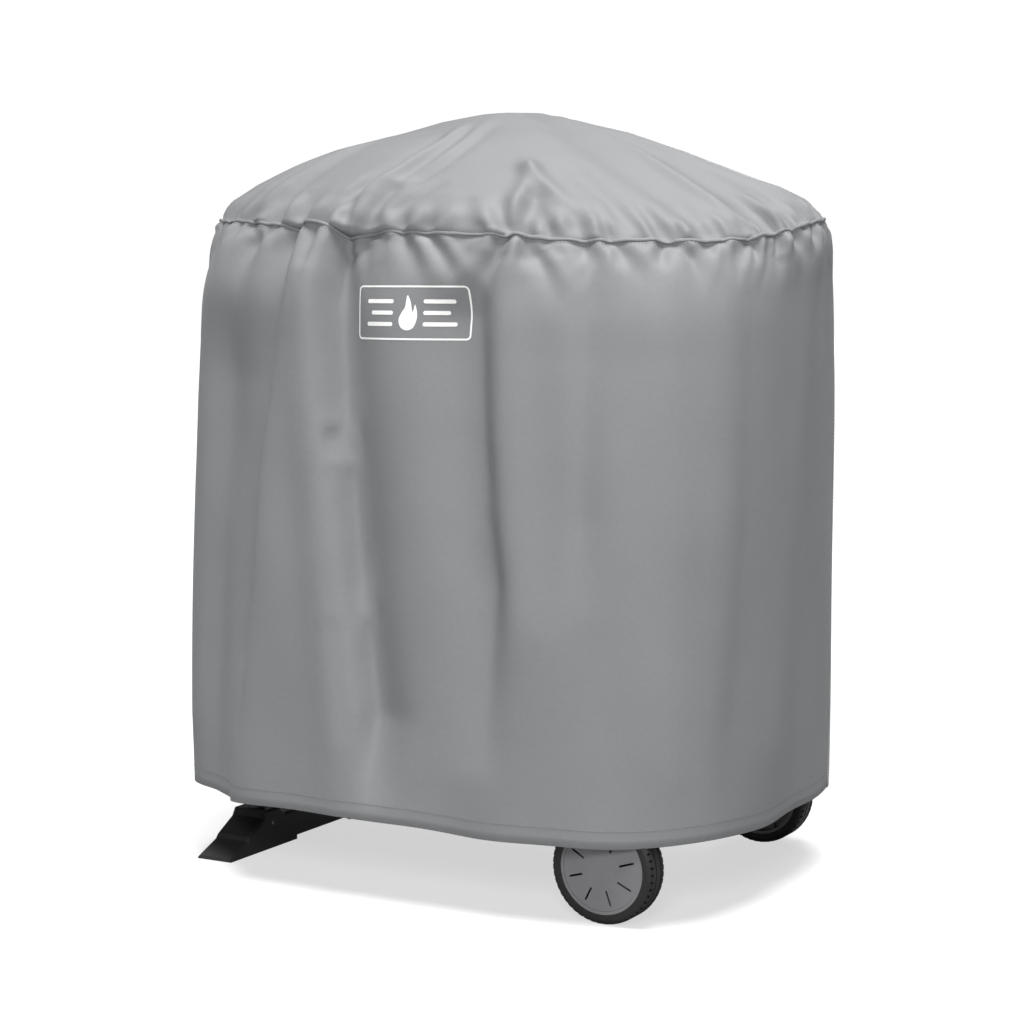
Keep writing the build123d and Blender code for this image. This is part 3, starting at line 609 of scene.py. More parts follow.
    def _wall_depth(self, turns: np.ndarray, height: np.ndarray) -> np.ndarray:
        """How far the wall's folds stand out of the smooth form."""
        s = self.round_from_front(turns)
        out = np.zeros_like(s)
        for fold in self.folds:
            heights = np.array([h for h, _ in fold.line])[::-1]
            places = np.array([p for _, p in fold.line])[::-1]
            middle = np.interp(height, heights, places)
            away = np.mod(s - middle + self.girth / 2, self.girth) - self.girth / 2
            width = np.where(away < 0, fold.left, fold.right)
            fade_low = np.clip((height - heights[0] + fold.fade) / fold.fade, 0, 1)
            fade_high = np.clip((heights[-1] + fold.top_fade - height) / fold.top_fade, 0, 1)
            fade_high = fade_high * fade_high * (3 - 2 * fade_high)
            out += fold.depth * np.exp(-((away / width) ** 2)) * fade_low * fade_high
        ripple = 0.0012 * np.sin(s * 47.0 + 6.0 * height) * np.sin(9.0 * height + 2.0 * s)
        return out + ripple

    def _seam_depth(self, turns: np.ndarray, below: np.ndarray) -> np.ndarray:
        """How far gathers at the crown seam sink in; `below` is the distance under the seam."""
        out = np.zeros_like(turns)
        rows = [(p.turn, p.depth, p.width, p.down, p.up, p.slant) for p in self.puckers]
        rows += list(zip(self._gather_turn, self._gather_depth, self._gather_width,
                         self._gather_down, self._gather_up, self._gather_slant))
        for turn, depth, width, down, up, slant in rows:
            away = np.mod(turns - turn - slant * np.maximum(below, 0) * 20 + 180, 360) - 180
            near = np.abs(away) < 6 * width
            reach = np.where(below > 0, down, up)
            along = np.abs(below) / reach
            fall = np.exp(-(along**2) * 1.6) * (0.45 + 0.55 * np.clip(along * 4, 0, 1))
            spread = width * (1 + 0.9 * along)
            shape = np.exp(-((away / spread) ** 2))
            shape -= 0.55 * np.exp(-(((away - 2.2 * spread) / spread) ** 2))
            shape -= 0.45 * np.exp(-(((away + 2.2 * spread) / spread) ** 2))
            out -= np.where(near, depth * shape * fall, 0)
        return out

    def _crown_depth(self, turns: np.ndarray, inward: np.ndarray) -> np.ndarray:
        """How far the crown's folds stand out of it."""
        out = np.zeros_like(turns)
        radius = 0.30 * (1 - inward) + 0.01
        for fold in self.crown_folds:
            (t0, v0), (t1, v1) = fold.start, fold.end
            run = (v1 - v0) if abs(v1 - v0) > 0.02 else 0.02
            share = np.clip((inward - v0) / run, 0, 1)
            middle = t0 + (t1 - t0) * share
            away = (np.mod(turns - middle + 180, 360) - 180) * math.pi / 180 * radius
            low, high = min(v0, v1), max(v0, v1)
            past = np.maximum(low - inward, 0) + np.maximum(inward - high, 0)
            taper = 1 - 0.55 * share
            shape = np.exp(-((away / fold.width) ** 2)) * np.exp(-((past / 0.05) ** 2))
            out += self.crown_depth * fold.depth * taper * shape
        return out

    def point(self, turns: np.ndarray, rise: np.ndarray, inset: float = 0.0) -> np.ndarray:
        """The cover with its folds.

        Args:
            turns: Turns in degrees.
            rise: 0 at the hem, 1 at the crown seam, 2 at the top.
            inset: How far inside the surface to stay.

        Returns:
            Points, one row for each.
        """
        smooth = self.smooth_point(turns, rise)
        turn_step, rise_step = 0.2, 0.004
        round_step = self.smooth_point(turns + turn_step, rise) - self.smooth_point(turns - turn_step, rise)
        above, below = np.clip(rise + rise_step, 0, 2), np.clip(rise - rise_step, 0, 2)
        up_step = self.smooth_point(turns, above) - self.smooth_point(turns, below)
        normal = np.cross(round_step, up_step)
        length = np.linalg.norm(normal, axis=-1, keepdims=True)
        normal = np.where(length > 1e-12, normal / np.maximum(length, 1e-12), np.array([0, 0, 1.0]))
        inward = np.clip(rise - 1, 0, 1)
        seam = self.seam_height(turns)
        below = np.where(rise <= 1, seam - smooth[..., 2], -inward * 0.36)
        depth = np.where(rise <= 1, self._wall_depth(turns, smooth[..., 2]), self._crown_depth(turns, inward))
        near_top = np.clip((1 - inward) / 0.12, 0, 1)
        depth = (depth + self._seam_depth(turns, below)) * near_top
        # Above the seam the cloth lies on the lid and its handle, so its hollows there are shallow.
        shallow = -self.crown_hollow * np.tanh(np.maximum(-depth, 0) / self.crown_hollow)
        depth = np.where((rise > 1) & (depth < 0), shallow, depth) - inset
        return smooth + normal * depth[..., None]


# ------------------------------------------------------------------ the sewn cover


def lay_net(build: bmesh.types.BMesh, points: np.ndarray, closed: bool) -> list[bmesh.types.BMVert]:
    """Adds a net of faces through rows of points.

    Args:
        build: Where the faces go.
        points: Rows by columns of points.
        closed: Whether each row closes on itself.

    Returns:
        The net's corners, row by row; a closed row ends on its first point again.
    """
    if closed:
        points = np.concatenate([points, points[:, :1]], axis=1)
    height, width = points.shape[:2]
    made = bmesh.ops.create_grid(build, x_segments=width - 1, y_segments=height - 1, size=1.0)
    corners = sorted(made["verts"], key=lambda v: (round(v.co.y, 6), round(v.co.x, 6)))
    for corner, point in zip(corners, points.reshape(-1, 3)):
        corner.co = Vector(point)
    return corners


def link_piece(name: str, build: bmesh.types.BMesh) -> bpy.types.Object:
    """Turns a bmesh into a linked object and frees it."""
    mesh = bpy.data.meshes.new(name)
    build.to_mesh(mesh)
    build.free()
    piece = bpy.data.objects.new(name, mesh)
    bpy.context.collection.objects.link(piece)
    return piece


def unit(directions: np.ndarray) -> np.ndarray:
    """Directions, one to a row, made one long."""
    return directions / np.maximum(np.linalg.norm(directions, axis=-1, keepdims=True), 1e-12)


class Panel(Enum):
    """The cover's cut pieces of cloth."""

    CROWN = "crown_panel"
    FRONT = "front_wall_panel"
    BACK = "back_wall_panel"


@dataclass
class ClothNet:
    """The whole cover as a net of points, round by up, before it is cut into panels."""

    form: CoverForm
    columns: int = 540
    wall_rows: int = 96
    crown_rows: int = 60
    turn_up: float = 0.022
    turn_up_rows: int = 4
    support_gap: float = 0.012
    largest_shift: float = 0.006

    def __post_init__(self) -> None:
        """Lays out the columns and rows and drapes the net."""
        self.turns = np.arange(self.columns) * 360.0 / self.columns
        share = np.linspace(0, 1, self.wall_rows + 1)
        # Rows close up towards the crown seam, where the gathers are.
        wall = 1 - (1 - share) ** 1.35
        up = np.linspace(0, 1, self.crown_rows + 1)[1:]
        self.rises = np.concatenate([wall, 1 + up**1.25])
        turns, rises = np.meshgrid(self.turns, self.rises)
        self.points = self.form.point(turns, rises)
        self.points = self.points + self._settle()

    @property
    def seam_row(self) -> int:
        """The row that lies on the crown seam."""
        return self.wall_rows

    def _settle(self) -> np.ndarray:
        """Drapes every third column and second row as cloth and returns the shift of every point."""
        column_step, row_step = 3, 2
        columns = np.arange(0, self.columns, column_step)
        rows = np.unique(np.append(np.arange(0, len(self.rises) - 2, row_step), self.seam_row))
        coarse = self.points[np.ix_(rows, columns)]
        build = bmesh.new()
        for i, vert in enumerate(lay_net(build, coarse, True)):
            vert.index = i
        build.verts.sort()
        bmesh.ops.remove_doubles(build, verts=build.verts, dist=1e-7)
        bmesh.ops.recalc_face_normals(build, faces=build.faces)
        cloth = link_piece("drape", build)
        start = np.array([v.co[:] for v in cloth.data.vertices])
        self._hold(cloth, start)
        support = self._support()
        settled = self._simulate(cloth)
        for helper in (cloth, support):
            bpy.data.objects.remove(helper)
        shift = settled - start
        length = np.linalg.norm(shift, axis=1, keepdims=True)
        shift *= np.minimum(1, self.largest_shift / np.maximum(length, 1e-9))
        grid = np.zeros(coarse.shape)
        number = {tuple(np.round(place, 6)): k for k, place in enumerate(start)}
        for row, column in np.ndindex(*coarse.shape[:2]):
            key = tuple(np.round(np.float32(coarse[row, column]).astype(float), 6))
            if key in number:
                grid[row, column] = shift[number[key]]
        return self._spread(grid, rows, column_step)

    def _spread(self, grid: np.ndarray, rows: np.ndarray, column_step: int) -> np.ndarray:
        """Carries the shifts of the coarse net to every point of the fine one.

        Args:
            grid: Shifts of the coarse net.
            rows: The fine rows it was taken from.
            column_step: The fine columns between two coarse ones.

        Returns:
            A shift for every point.
        """
        closed = np.concatenate([grid, grid[:, :1]], axis=1)
        places = np.arange(self.columns) / column_step
        low = np.floor(places).astype(int)
        part = (places - low)[None, :, None]
        across = closed[:, low] * (1 - part) + closed[:, low + 1] * part
        out = np.zeros_like(self.points)
        wanted = np.arange(len(self.rises))
        for axis in range(3):
            for column in range(self.columns):
                out[:, column, axis] = np.interp(wanted, rows, across[:, column, axis])
        return out

    def _hold(self, cloth: bpy.types.Object, start: np.ndarray) -> None:
        """Holds the cloth loosely to its form: firmly at the crown, hardly at the gathers."""
        group = cloth.vertex_groups.new(name="hold")
        slack = cloth.vertex_groups.new(name="slack")
        for i, (x, y, z) in enumerate(start):
            seam = self.form.seam_height(np.array([math.degrees(math.atan2(y, x)) % 360]))[0]
            far = min(1.0, abs(z - seam) / 0.10)
            group.add([i], 0.20 + 0.75 * far, "REPLACE")
            slack.add([i], 1.0 - 0.92 * far, "REPLACE")

    def _support(self) -> bpy.types.Object:
        """A body just inside the cover, with the same folds, that the cloth lies on."""
        turns, rises = np.meshgrid(self.turns[::6], np.linspace(0.02, 1.9, 50))
        points = self.form.point(turns, rises, self.support_gap)
        build = bmesh.new()
        lay_net(build, points, True)
        bmesh.ops.remove_doubles(build, verts=build.verts, dist=1e-7)
        bmesh.ops.recalc_face_normals(build, faces=build.faces)
        support = link_piece("support", build)
        support.modifiers.new("collide", "COLLISION")
        support.collision.thickness_outer = 0.002
        return support

    @staticmethod
    def _simulate(cloth: bpy.types.Object, frames: int = 22) -> np.ndarray:
        """Runs the cloth and returns where its points come to rest."""
        modifier = cloth.modifiers.new("cloth", "CLOTH")
        settings = modifier.settings
        settings.quality = 6
        settings.mass = 0.12
        settings.tension_stiffness = 40
        settings.compression_stiffness = 40
        settings.shear_stiffness = 12
        settings.bending_stiffness = 2.0
        settings.tension_damping = 15
        settings.compression_damping = 15
        settings.air_damping = 2
        settings.vertex_group_mass = "hold"
        settings.pin_stiffness = 1.2
        settings.vertex_group_shrink = "slack"
        settings.shrink_min = 0.0
        settings.shrink_max = -0.018
        modifier.collision_settings.use_self_collision = False
        modifier.collision_settings.distance_min = 0.003
        scene = bpy.context.scene
        modifier.point_cache.frame_start = 1
        modifier.point_cache.frame_end = frames
        for step in range(1, frames + 1):
            scene.frame_set(step)
        shown = cloth.evaluated_get(bpy.context.evaluated_depsgraph_get())
        flat = np.empty(len(shown.data.vertices) * 3, np.float32)
        shown.data.vertices.foreach_get("co", flat)
        scene.frame_set(1)
        return flat.reshape(-1, 3).astype(float)

    def normals(self) -> np.ndarray:
        """Outward normals at every point of the net."""
        round_way = np.roll(self.points, -1, axis=1) - np.roll(self.points, 1, axis=1)
        up_way = np.gradient(self.points, axis=0)
        return unit(np.cross(round_way, up_way))


@dataclass
class SewnCover:
    """The cover: its cloth panels, welt, bindings, hem, stitches and printed emblem."""

    net: ClothNet
    back_seam: float = 30.0
    cloth: float = 0.0011
    welt_radius: float = 0.0021
    binding_width: float = 0.019
    stitch: float = 0.0034
    stitch_gap: float = 0.0014
    thread: float = 0.00042
    emblem_size: tuple[float, float] = (0.168, 0.069)
    emblem_height: float = 0.757

    def build(self) -> None:
        """Makes and dresses every piece of the cover."""
        cloth, tape, thread = COVER_CLOTH.material(), BINDING_TAPE.material(), SEAM_THREAD.material()
        self.normals = self.net.normals()
        crown = self._panel(Panel.CROWN)
        front = self._panel(Panel.FRONT)
        back = self._panel(Panel.BACK)
        welt = self._welt()
        bindings = [self._binding(side) for side in (-1, 1)]
        stitches = [
            self._ring_stitches("crown_seam_stitches", self.net.seam_row - 2),
            self._ring_stitches("hem_stitches", self._hem_row()),
            self._back_stitches(),
        ]
        emblem = self._emblem(front)
        for piece in (crown, front, back, welt):
            self._dress(piece, cloth)
        for piece in bindings:
            self._dress(piece, tape)
        for piece in stitches:
            self._dress(piece, thread)
        self._dress(emblem, EMBLEM_INK.material())
        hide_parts("crown_panel")
        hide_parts("front_wall_panel")
        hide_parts("back_wall_panel")
        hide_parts("crown_seam_welt")
        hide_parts("left_back_seam_binding")
        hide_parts("right_back_seam_binding")
        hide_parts("front_emblem")

    def _dress(self, piece: bpy.types.Object, material: bpy.types.Material) -> None:
        """Gives a piece its material and its place on the cover's body."""
        piece.data.materials.clear()
        piece.data.materials.append(material)
        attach(piece, "cover")
        LOG.info("made %s with %d faces", piece.name, len(piece.data.polygons))

    def _column(self, turn: float) -> int:
        """The net's column nearest a turn."""
        return round(turn / 360 * self.net.columns) % self.net.columns

    def _panel(self, which: Panel) -> bpy.types.Object:
        """Cuts one panel from the net, with its hem turned up inside.

        Args:
            which: The panel.

        Returns:
            The panel as a solid sheet.
        """
        seam, last = self.net.seam_row, len(self.net.rises) - 1
        right, left = self._column(self.back_seam), self._column(180 - self.back_seam)
        if which is Panel.CROWN:
            columns = np.arange(self.net.columns + 1)
            rows = np.arange(seam, last + 1)
        elif which is Panel.FRONT:
            columns = np.arange(left, right + self.net.columns + 1)
            rows = np.arange(0, seam + 1)
        else:
            columns = np.arange(right, left + 1)
            rows = np.arange(0, seam + 1)
        wrapped = columns % self.net.columns
        points = self.net.points[np.ix_(rows, wrapped)]
        if which is not Panel.CROWN:
            points = np.concatenate([self._turned_up(wrapped), points])
        return self._sheet_from(which.value + "_cloth", points, columns)

    def _turned_up(self, columns: np.ndarray) -> np.ndarray:
        """Rows of the hem's turn-up, from its free edge inside down to the fold."""
        hem, normal = self.net.points[0, columns], self.normals[1, columns]
        inwards = -normal * np.array([1, 1, 0])
        rows = []
        for i in range(self.net.turn_up_rows):
            height = self.net.turn_up * (1 - i / self.net.turn_up_rows)
            place = np.interp(self.net.points[0, columns, 2] + height,
                              self.net.points[:, columns[0], 2], np.arange(len(self.net.rises)))
            low = np.floor(place).astype(int)
            part = (place - low)[:, None]
            wall = self.net.points[low, columns] * (1 - part) + self.net.points[low + 1, columns] * part
            rows.append(wall + inwards * (2.2 * self.cloth))
        rows.append(hem + inwards * (1.1 * self.cloth) - np.array([0, 0, 0.0006]))
        return np.array(rows)

    def _sheet_from(self, name: str, points: np.ndarray, columns: np.ndarray) -> bpy.types.Object:
        """Turns a net of points into a sheet with its cut laid out in metres.

        Args:
            name: The piece's name.
            points: Rows by columns of points.
            columns: The net's column numbers, which may pass the last one.

        Returns:
            The sheet.
        """
        width = points.shape[1]
        build = bmesh.new()
        cut = build.loops.layers.uv.new("cut")
        along = (columns - columns[0]) * self.net.form.girth / self.net.columns
        steps = np.linalg.norm(np.diff(points[:, width // 2], axis=0), axis=1)
        up = np.concatenate([[0.0], np.cumsum(steps)])
        place = {}
        for i, vert in enumerate(lay_net(build, points, False)):
            row, column = divmod(i, width)
            place[vert] = (float(along[column]), float(up[row]))
        for face in build.faces:
            face.smooth = True
            for loop in face.loops:
                loop[cut].uv = place[loop.vert]
        bmesh.ops.remove_doubles(build, verts=build.verts, dist=1e-6)
        bmesh.ops.recalc_face_normals(build, faces=build.faces)
        self._face_outwards(build)
        bmesh.ops.solidify(build, geom=build.faces[:], thickness=self.cloth)
        for face in build.faces:
            face.smooth = True
        return link_piece(name, build)

    @staticmethod
    def _face_outwards(build: bmesh.types.BMesh) -> None:
        """Turns an open sheet's faces so that they point away from the middle of the cover."""
        middle = Vector((0, 0, 0.5))
        score = sum((f.calc_center_median() - middle).dot(f.normal) * f.calc_area() for f in build.faces)
        if score < 0:
            bmesh.ops.reverse_faces(build, faces=build.faces)

    @staticmethod
    def _rope(build: bmesh.types.BMesh, path: np.ndarray, outward: np.ndarray, upward: np.ndarray,
              profile: list[tuple[float, float]], closed: bool) -> None:
        """Sweeps a closed profile along a path.

        Args:
            build: Where the faces go.
            path: Points of the path.
            outward: The profile's first direction at each point.
            upward: The profile's second direction at each point.
            profile: Pairs along the two directions, in metres.
            closed: Whether the path closes on itself.
        """
        net = np.stack([path + outward * out + upward * up for out, up in profile], axis=1)
        if closed:
            net = np.concatenate([net, net[:1]])
        bmesh.ops.remove_doubles(build, verts=lay_net(build, net, True), dist=1e-7)

    def _seam_frame(self, row: int) -> tuple[np.ndarray, np.ndarray, np.ndarray]:
        """The points of one row with their outward and upward directions."""
        points = self.net.points[row]
        outward = unit((self.normals[row - 2] + self.normals[min(row + 2, len(self.normals) - 1)]) / 2)
        along = np.roll(points, -1, axis=0) - np.roll(points, 1, axis=0)
        upward = unit(np.cross(outward, along))
        return points, outward, upward * np.sign(upward[:, 2:3])

    def _upright(self, turn: float, rows: np.ndarray) -> tuple[np.ndarray, np.ndarray, np.ndarray]:
        """One column's points, with the directions outwards and round the wall."""
        column = self._column(turn)
        beside = self.net.points[rows, (column + 1) % self.net.columns] - self.net.points[rows, column - 1]
        return self.net.points[rows, column], self.normals[rows, column], unit(beside)

    def _welt(self) -> bpy.types.Object:
        """The turned-over edge that stands along the crown seam."""
        points, outward, upward = self._seam_frame(self.net.seam_row)
        radius = self.welt_radius
        profile = [
            (radius * (0.55 + 0.75 * math.cos(a)), radius * (0.2 + 1.15 * math.sin(a)))
            for a in [2 * math.pi * i / 10 for i in range(10)]
        ]
        swell = 1 + 0.16 * np.sin(np.arange(len(points)) * 0.37) * np.sin(np.arange(len(points)) * 0.11)
        build = bmesh.new()
        self._rope(build, points, outward * swell[:, None], upward * swell[:, None], profile, True)
        bmesh.ops.recalc_face_normals(build, faces=build.faces)
        for face in build.faces:
            face.smooth = True
        self._lay_out(build)
        return link_piece("crown_seam_welt_cloth", build)

    @staticmethod
    def _lay_out(build: bmesh.types.BMesh) -> None:
        """Gives a small cloth piece a cut layout in metres, by direction round and height."""
        cut = build.loops.layers.uv.new("cut")
        for face in build.faces:
            for loop in face.loops:
                co = loop.vert.co
                loop[cut].uv = (math.atan2(co.y, co.x) * 0.36, co.z)

    def _binding(self, side: int) -> bpy.types.Object:
        """The flat binding over one upright back seam: side is -1 at the left, 1 at the right."""
        turn = self.back_seam if side > 0 else 180 - self.back_seam
        path, outward, along = self._upright(turn, np.arange(0, self.net.seam_row))
        half, thick, sunk = self.binding_width / 2, self.cloth, -0.0004
        profile = [(sunk, -half), (thick, -half), (thick * 1.3, -half * 0.5), (thick * 1.45, 0),
                   (thick * 1.3, half * 0.5), (thick, half), (sunk, half)]
        build = bmesh.new()
        self._rope(build, path, outward, along, profile, False)
        ends = [e for e in build.edges if e.is_boundary]
        bmesh.ops.holes_fill(build, edges=ends, sides=0)
        bmesh.ops.recalc_face_normals(build, faces=build.faces)
        for face in build.faces:
            face.smooth = len(face.verts) == 4
        self._lay_out(build)
        return link_piece(("left" if side < 0 else "right") + "_back_seam_tape", build)

    def _sew(self, build: bmesh.types.BMesh, path: np.ndarray, outward: np.ndarray, lift: float) -> None:
        """Lays short stitches of thread along a path.

        Args:
            build: Where the stitches go.
            path: Points of the path.
            outward: Outward directions.
            lift: How far the thread's middle stands off the path.
        """
        steps = np.linalg.norm(np.diff(path, axis=0), axis=1)
        run = np.concatenate([[0.0], np.cumsum(steps)])
        pitch = self.stitch + self.stitch_gap
        for k in range(int(run[-1] / pitch)):
            ends = []
            for place in (k * pitch, k * pitch + self.stitch):
                point = np.array([np.interp(place, run, path[:, a]) for a in range(3)])
                away = np.array([np.interp(place, run, outward[:, a]) for a in range(3)])
                ends.append(Vector(point + away * lift))
            middle = (ends[0] + ends[1]) / 2
            along = ends[1] - ends[0]
            turn = along.to_track_quat("Z", "Y").to_matrix().to_4x4()
            size = Matrix.Diagonal((self.thread, self.thread, along.length / 2, 1))
            bmesh.ops.create_icosphere(build, subdivisions=1, radius=1.0,
                                       matrix=Matrix.Translation(middle) @ turn @ size)

    def _stitched(self, name: str, runs: list[tuple[np.ndarray, np.ndarray]],
                  lift: float) -> bpy.types.Object:
        """Sews one or more paths into one piece of thread."""
        build = bmesh.new()
        for path, outward in runs:
            self._sew(build, path, outward, lift)
        for face in build.faces:
            face.smooth = True
        return link_piece(name, build)

    def _ring_stitches(self, name: str, row: int) -> bpy.types.Object:
        """One row of stitches all the way round the cover."""
        loop = np.append(np.arange(self.net.columns), 0)
        return self._stitched(name, [(self.net.points[row, loop], self.normals[row, loop])], 0.0002)

    def _hem_row(self) -> int:
        """The net's row that lies near the free edge of the turned-up hem."""
        heights = self.net.points[:, 0, 2] - self.net.points[0, 0, 2]
        return int(np.searchsorted(heights, self.net.turn_up * 0.8))

    def _back_stitches(self) -> bpy.types.Object:
        """Two rows of stitches on each back seam binding."""
        runs = []
        for turn in (self.back_seam, 180 - self.back_seam):
            path, outward, along = self._upright(turn, np.arange(1, self.net.seam_row - 1))
            for side in (-1, 1):
                runs.append((path + along * side * self.binding_width * 0.36, outward))
        return self._stitched("back_seam_stitches", runs, 0.0016)

    # -------------------------------------------------------------- the printed emblem

    def _emblem(self, front: bpy.types.Object) -> bpy.types.Object:
        """A plain frame round a flame between bars, printed on the front.

        Args:
            front: The front wall it is printed on.

        Returns:
            The ink as a thin raised piece.
        """
        build = bmesh.new()
        width, height = self.emblem_size
        self._ring(build, width, height, 0.0065, 0.0023)
        self._flame(build, 0.0, 0.0, 0.0225)
        for side in (-1, 1):
            for k, reach in enumerate((0.044, 0.036, 0.044)):
                self._bar(build, side * (0.0185 + reach / 2 + 0.003), (1 - k) * 0.0145, reach, 0.0052)
        bmesh.ops.triangulate(build, faces=build.faces)
        long_edges = [e for e in build.edges if e.calc_length() > 0.006]
        while long_edges:
            bmesh.ops.subdivide_edges(build, edges=long_edges, cuts=1)
            bmesh.ops.triangulate(build, faces=build.faces)
            long_edges = [e for e in build.edges if e.calc_length() > 0.006]
        surface = BVHTree.FromObject(front, bpy.context.evaluated_depsgraph_get())
        for vert in build.verts:
            start = Vector((vert.co.x, -1.0, self.emblem_height + vert.co.z))
            hit, normal, _, _ = surface.ray_cast(start, Vector((0, 1, 0)))
            vert.co = hit + normal * 0.0003
        bmesh.ops.recalc_face_normals(build, faces=build.faces)
        for face in build.faces:
            if face.normal.y > 0:
                face.normal_flip()
            face.smooth = True
        return link_piece("front_emblem_print", build)

    @staticmethod
    def _fill(build: bmesh.types.BMesh, outline: list[tuple[float, float]]) -> None:
        """Fills one outline in x and z."""
        build.faces.new([build.verts.new((x, 0, z)) for x, z in outline])

    @staticmethod
    def _rounded(width: float, height: float, corner: float, x: float = 0.0,
                 z: float = 0.0) -> list[tuple[float, float]]:
        """The outline of a rounded rectangle, anticlockwise."""
        outline = []
        for quarter in range(4):
            cx = (width / 2 - corner) * (1 if quarter in (0, 3) else -1)
            cz = (height / 2 - corner) * (1 if quarter in (0, 1) else -1)
            for i in range(7):
                a = math.pi / 2 * (quarter + i / 6)
                outline.append((x + cx + corner * math.cos(a), z + cz + corner * math.sin(a)))
        return outline

    def _ring(self, build: bmesh.types.BMesh, width: float, height: float, corner: float,
              line: float) -> None:
        """A rounded-rectangle frame of even line width."""
        outer = [build.verts.new((x, 0, z)) for x, z in self._rounded(width, height, corner)]
        inner = [build.verts.new((x, 0, z))
                 for x, z in self._rounded(width - 2 * line, height - 2 * line, corner - line)]
        edges = []
        for loop in (outer, inner):
            for i, vert in enumerate(loop):
                edges.append(build.edges.new((vert, loop[(i + 1) % len(loop)])))
        bmesh.ops.bridge_loops(build, edges=edges)

    def _bar(self, build: bmesh.types.BMesh, x: float, z: float, width: float, height: float) -> None:
        """One round-ended bar."""
        self._fill(build, self._rounded(width, height, height / 2 - 0.0002, x, z))

    def _flame(self, build: bmesh.types.BMesh, x: float, z: float, size: float) -> None:
        """A flame with a tall tongue and a short one, from a few points smoothed into a curve."""
        corners = [(0.0, -1.0), (-0.50, -0.82), (-0.70, -0.35), (-0.50, 0.10), (-0.22, 0.48), (-0.10, 1.20),
                   (0.20, 0.78), (0.32, 0.20), (0.44, 0.26), (0.56, 0.62), (0.74, 0.05), (0.68, -0.45),
                   (0.45, -0.85)]
        points = [Vector((x + size * 0.8 * u, z + size * 0.9 * (v - 0.1), 0)) for u, v in corners]
        count = len(points)
        outline = []
        for k, here in enumerate(points):
            before, after, beyond = points[k - 1], points[(k + 1) % count], points[(k + 2) % count]
            for t in (0.0, 0.25, 0.5, 0.75):
                spot = (2 * here + (after - before) * t + (2 * before - 5 * here + 4 * after - beyond) * t**2
                        + (3 * here - before - 3 * after + beyond) * t**3) / 2
                outline.append((spot.x, spot.y))
        self._fill(build, outline)


# ------------------------------------------------------------------ hard parts and the studio


@dataclass
class HardParts:
    """Every carried-over piece of the cart, the wheels and the grill."""

    def dress(self) -> None:
        """Gives each carried-over piece the finish of its slot."""
        made = {name: finish.material() for name, finish in SLOT_FINISHES.items()}
        for part in frame["record"]["subparts"]:
            slot = part["material_slot"]
            if slot not in made:
                continue
            piece = frame["nodes"][part["node"]]
            if not piece.material_slots:
                piece.data.materials.append(made[slot])
            for place in piece.material_slots:
                place.material = made[slot]
            LOG.info("dressed %s as %s", part["node"], slot)


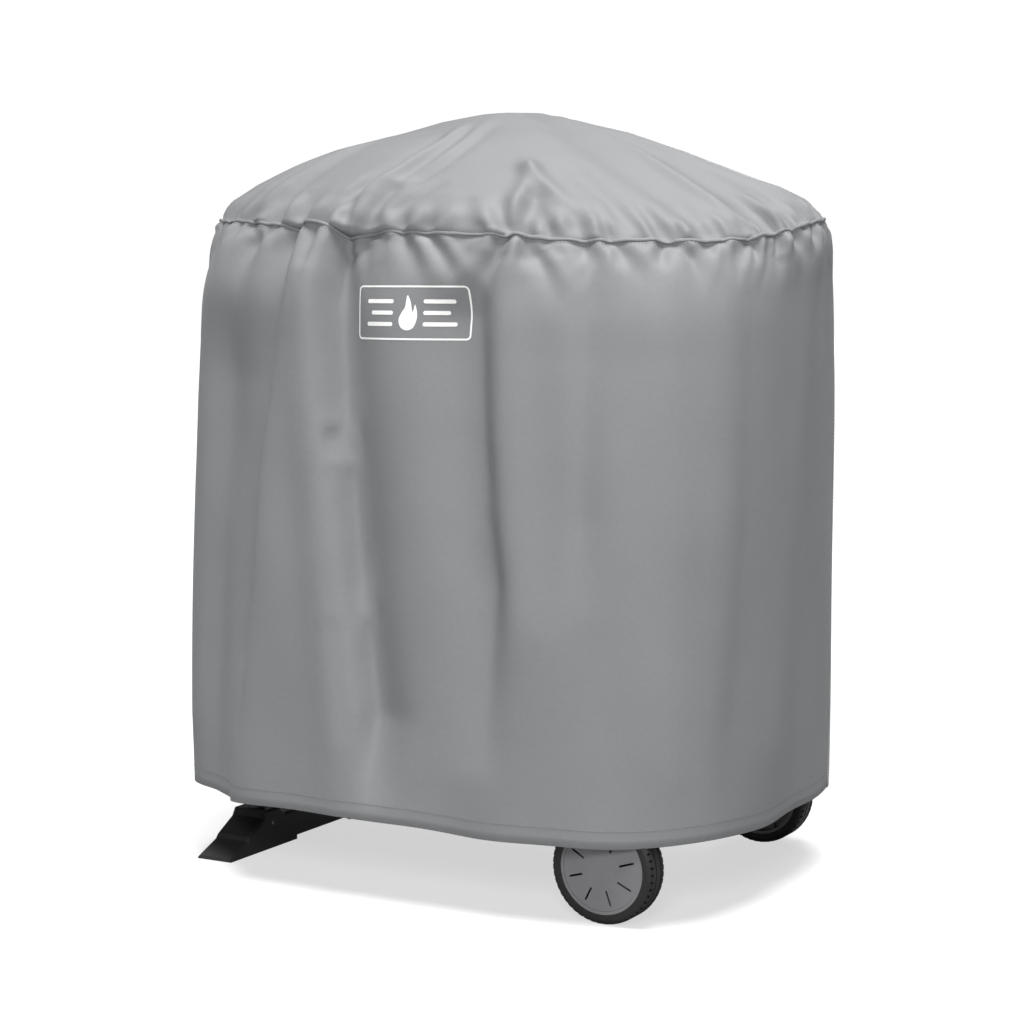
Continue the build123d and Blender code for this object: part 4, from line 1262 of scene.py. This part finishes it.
@dataclass
class Studio:
    """A pale floor, soft lights and the camera."""

    azimuth: float = 28.946
    elevation: float = 5.607
    distance: float = 3.266
    lens: float = 83.25
    look_height: float = 0.480
    look_right: float = 0.005
    horizon_glow: float = 8.0
    sky: float = 0.03
    table_glow: float = 0.62

    def build(self) -> None:
        """Makes the floor, the lights and the camera."""
        self._floor()
        self._world()
        self._sky_light("overhead", (0.10, -0.12, 1.0), 30, 5.9)
        self._light("key", (1.8, -4.1, 2.4), (0, 0, 0.55), 1.2, 116)
        self._light("back fill", (-0.9, 4.4, 2.4), (0, 0, 0.55), 1.6, 46)
        self._camera()

    def _floor(self) -> None:
        """The pale table, which looks lit from below but throws no light of its own."""
        build = bmesh.new()
        bmesh.ops.create_circle(build, cap_ends=True, segments=96, radius=30.0)
        floor = link_piece("floor", build)
        bench = NodeBench("floor_paper")
        bench.join(bench.tint(bench.noise(bench.coordinates(), 2.0), (0.27, 0.27, 0.27), (0.29, 0.29, 0.29)),
                   bench.shader.inputs["Base Color"])
        bench.shader.inputs["Roughness"].default_value = 0.9
        bench.shader.inputs["Emission Color"].default_value = (1, 1, 1, 1)
        seen = bench.add("ShaderNodeLightPath")
        glow = bench.add("ShaderNodeMath", operation="MULTIPLY")
        bench.join(seen.outputs["Is Camera Ray"], glow.inputs[0])
        glow.inputs[1].default_value = self.table_glow
        bench.join(glow.outputs[0], bench.shader.inputs["Emission Strength"])
        floor.data.materials.append(bench.material)

    def _world(self) -> None:
        """A surround that looks white and sheds its light from the horizon, shown without a tone curve."""
        bpy.context.scene.view_settings.view_transform = "Standard"
        world = bpy.data.worlds.new("surround")
        world.use_nodes = True
        tree = world.node_tree
        where = tree.nodes.new("ShaderNodeTexCoord")
        split = tree.nodes.new("ShaderNodeSeparateXYZ")
        strength = tree.nodes.new("ShaderNodeMapRange")
        strength.inputs["From Min"].default_value = math.sin(math.radians(self.horizon_glow))
        strength.inputs["From Max"].default_value = math.sin(math.radians(self.horizon_glow * 1.25))
        strength.inputs["To Min"].default_value = 1.02
        strength.inputs["To Max"].default_value = self.sky
        tree.links.new(where.outputs["Generated"], split.inputs["Vector"])
        tree.links.new(split.outputs["Z"], strength.inputs["Value"])
        background = tree.nodes["Background"]
        background.inputs["Color"].default_value = (1, 1, 1, 1)
        # What is seen behind the object is white all over; only the light it sheds is dim overhead.
        seen = tree.nodes.new("ShaderNodeLightPath")
        brightest = tree.nodes.new("ShaderNodeMath")
        brightest.operation = "MAXIMUM"
        tree.links.new(strength.outputs["Result"], brightest.inputs[0])
        tree.links.new(seen.outputs["Is Camera Ray"], brightest.inputs[1])
        tree.links.new(brightest.outputs[0], background.inputs["Strength"])
        bpy.context.scene.world = world

    @staticmethod
    def _sky_light(name: str, towards: tuple[float, float, float], softness: float, power: float) -> None:
        """One broad far light, given the way to it, its spread in degrees and its strength."""
        lamp = bpy.data.lights.new(name, "SUN")
        lamp.angle = math.radians(softness)
        lamp.energy = power
        holder = bpy.data.objects.new(name, lamp)
        holder.rotation_euler = Vector(towards).to_track_quat("Z", "Y").to_euler()
        bpy.context.collection.objects.link(holder)

    @staticmethod
    def _light(name: str, place: tuple[float, float, float], aim: tuple[float, float, float], size: float,
               power: float) -> None:
        """One square softbox."""
        lamp = bpy.data.lights.new(name, "AREA")
        lamp.size = size
        lamp.energy = power
        holder = bpy.data.objects.new(name, lamp)
        holder.location = place
        holder.rotation_euler = (Vector(aim) - Vector(place)).to_track_quat("-Z", "Y").to_euler()
        bpy.context.collection.objects.link(holder)

    def _camera(self) -> None:
        """The camera, looking a little down and from the front right."""
        a, e = math.radians(self.azimuth), math.radians(self.elevation)
        right = Vector((math.cos(a), math.sin(a), 0))
        away = Vector((math.sin(a) * math.cos(e), -math.cos(a) * math.cos(e), math.sin(e)))
        target = right * self.look_right + Vector((0, 0, self.look_height))
        camera = bpy.data.cameras.new("camera")
        camera.lens = self.lens
        holder = bpy.data.objects.new("camera", camera)
        holder.location = target + away * self.distance
        holder.rotation_euler = (-away).to_track_quat("-Z", "Y").to_euler()
        bpy.context.collection.objects.link(holder)
        bpy.context.scene.camera = holder


def main() -> None:
    """Builds the cover, dresses the hard parts and sets up the studio."""
    logging.basicConfig(level=logging.INFO, format="%(name)s: %(message)s")
    SewnCover(ClothNet(CoverForm())).build()
    HardParts().dress()
    Studio().build()


if __name__ == "__main__":
    main()
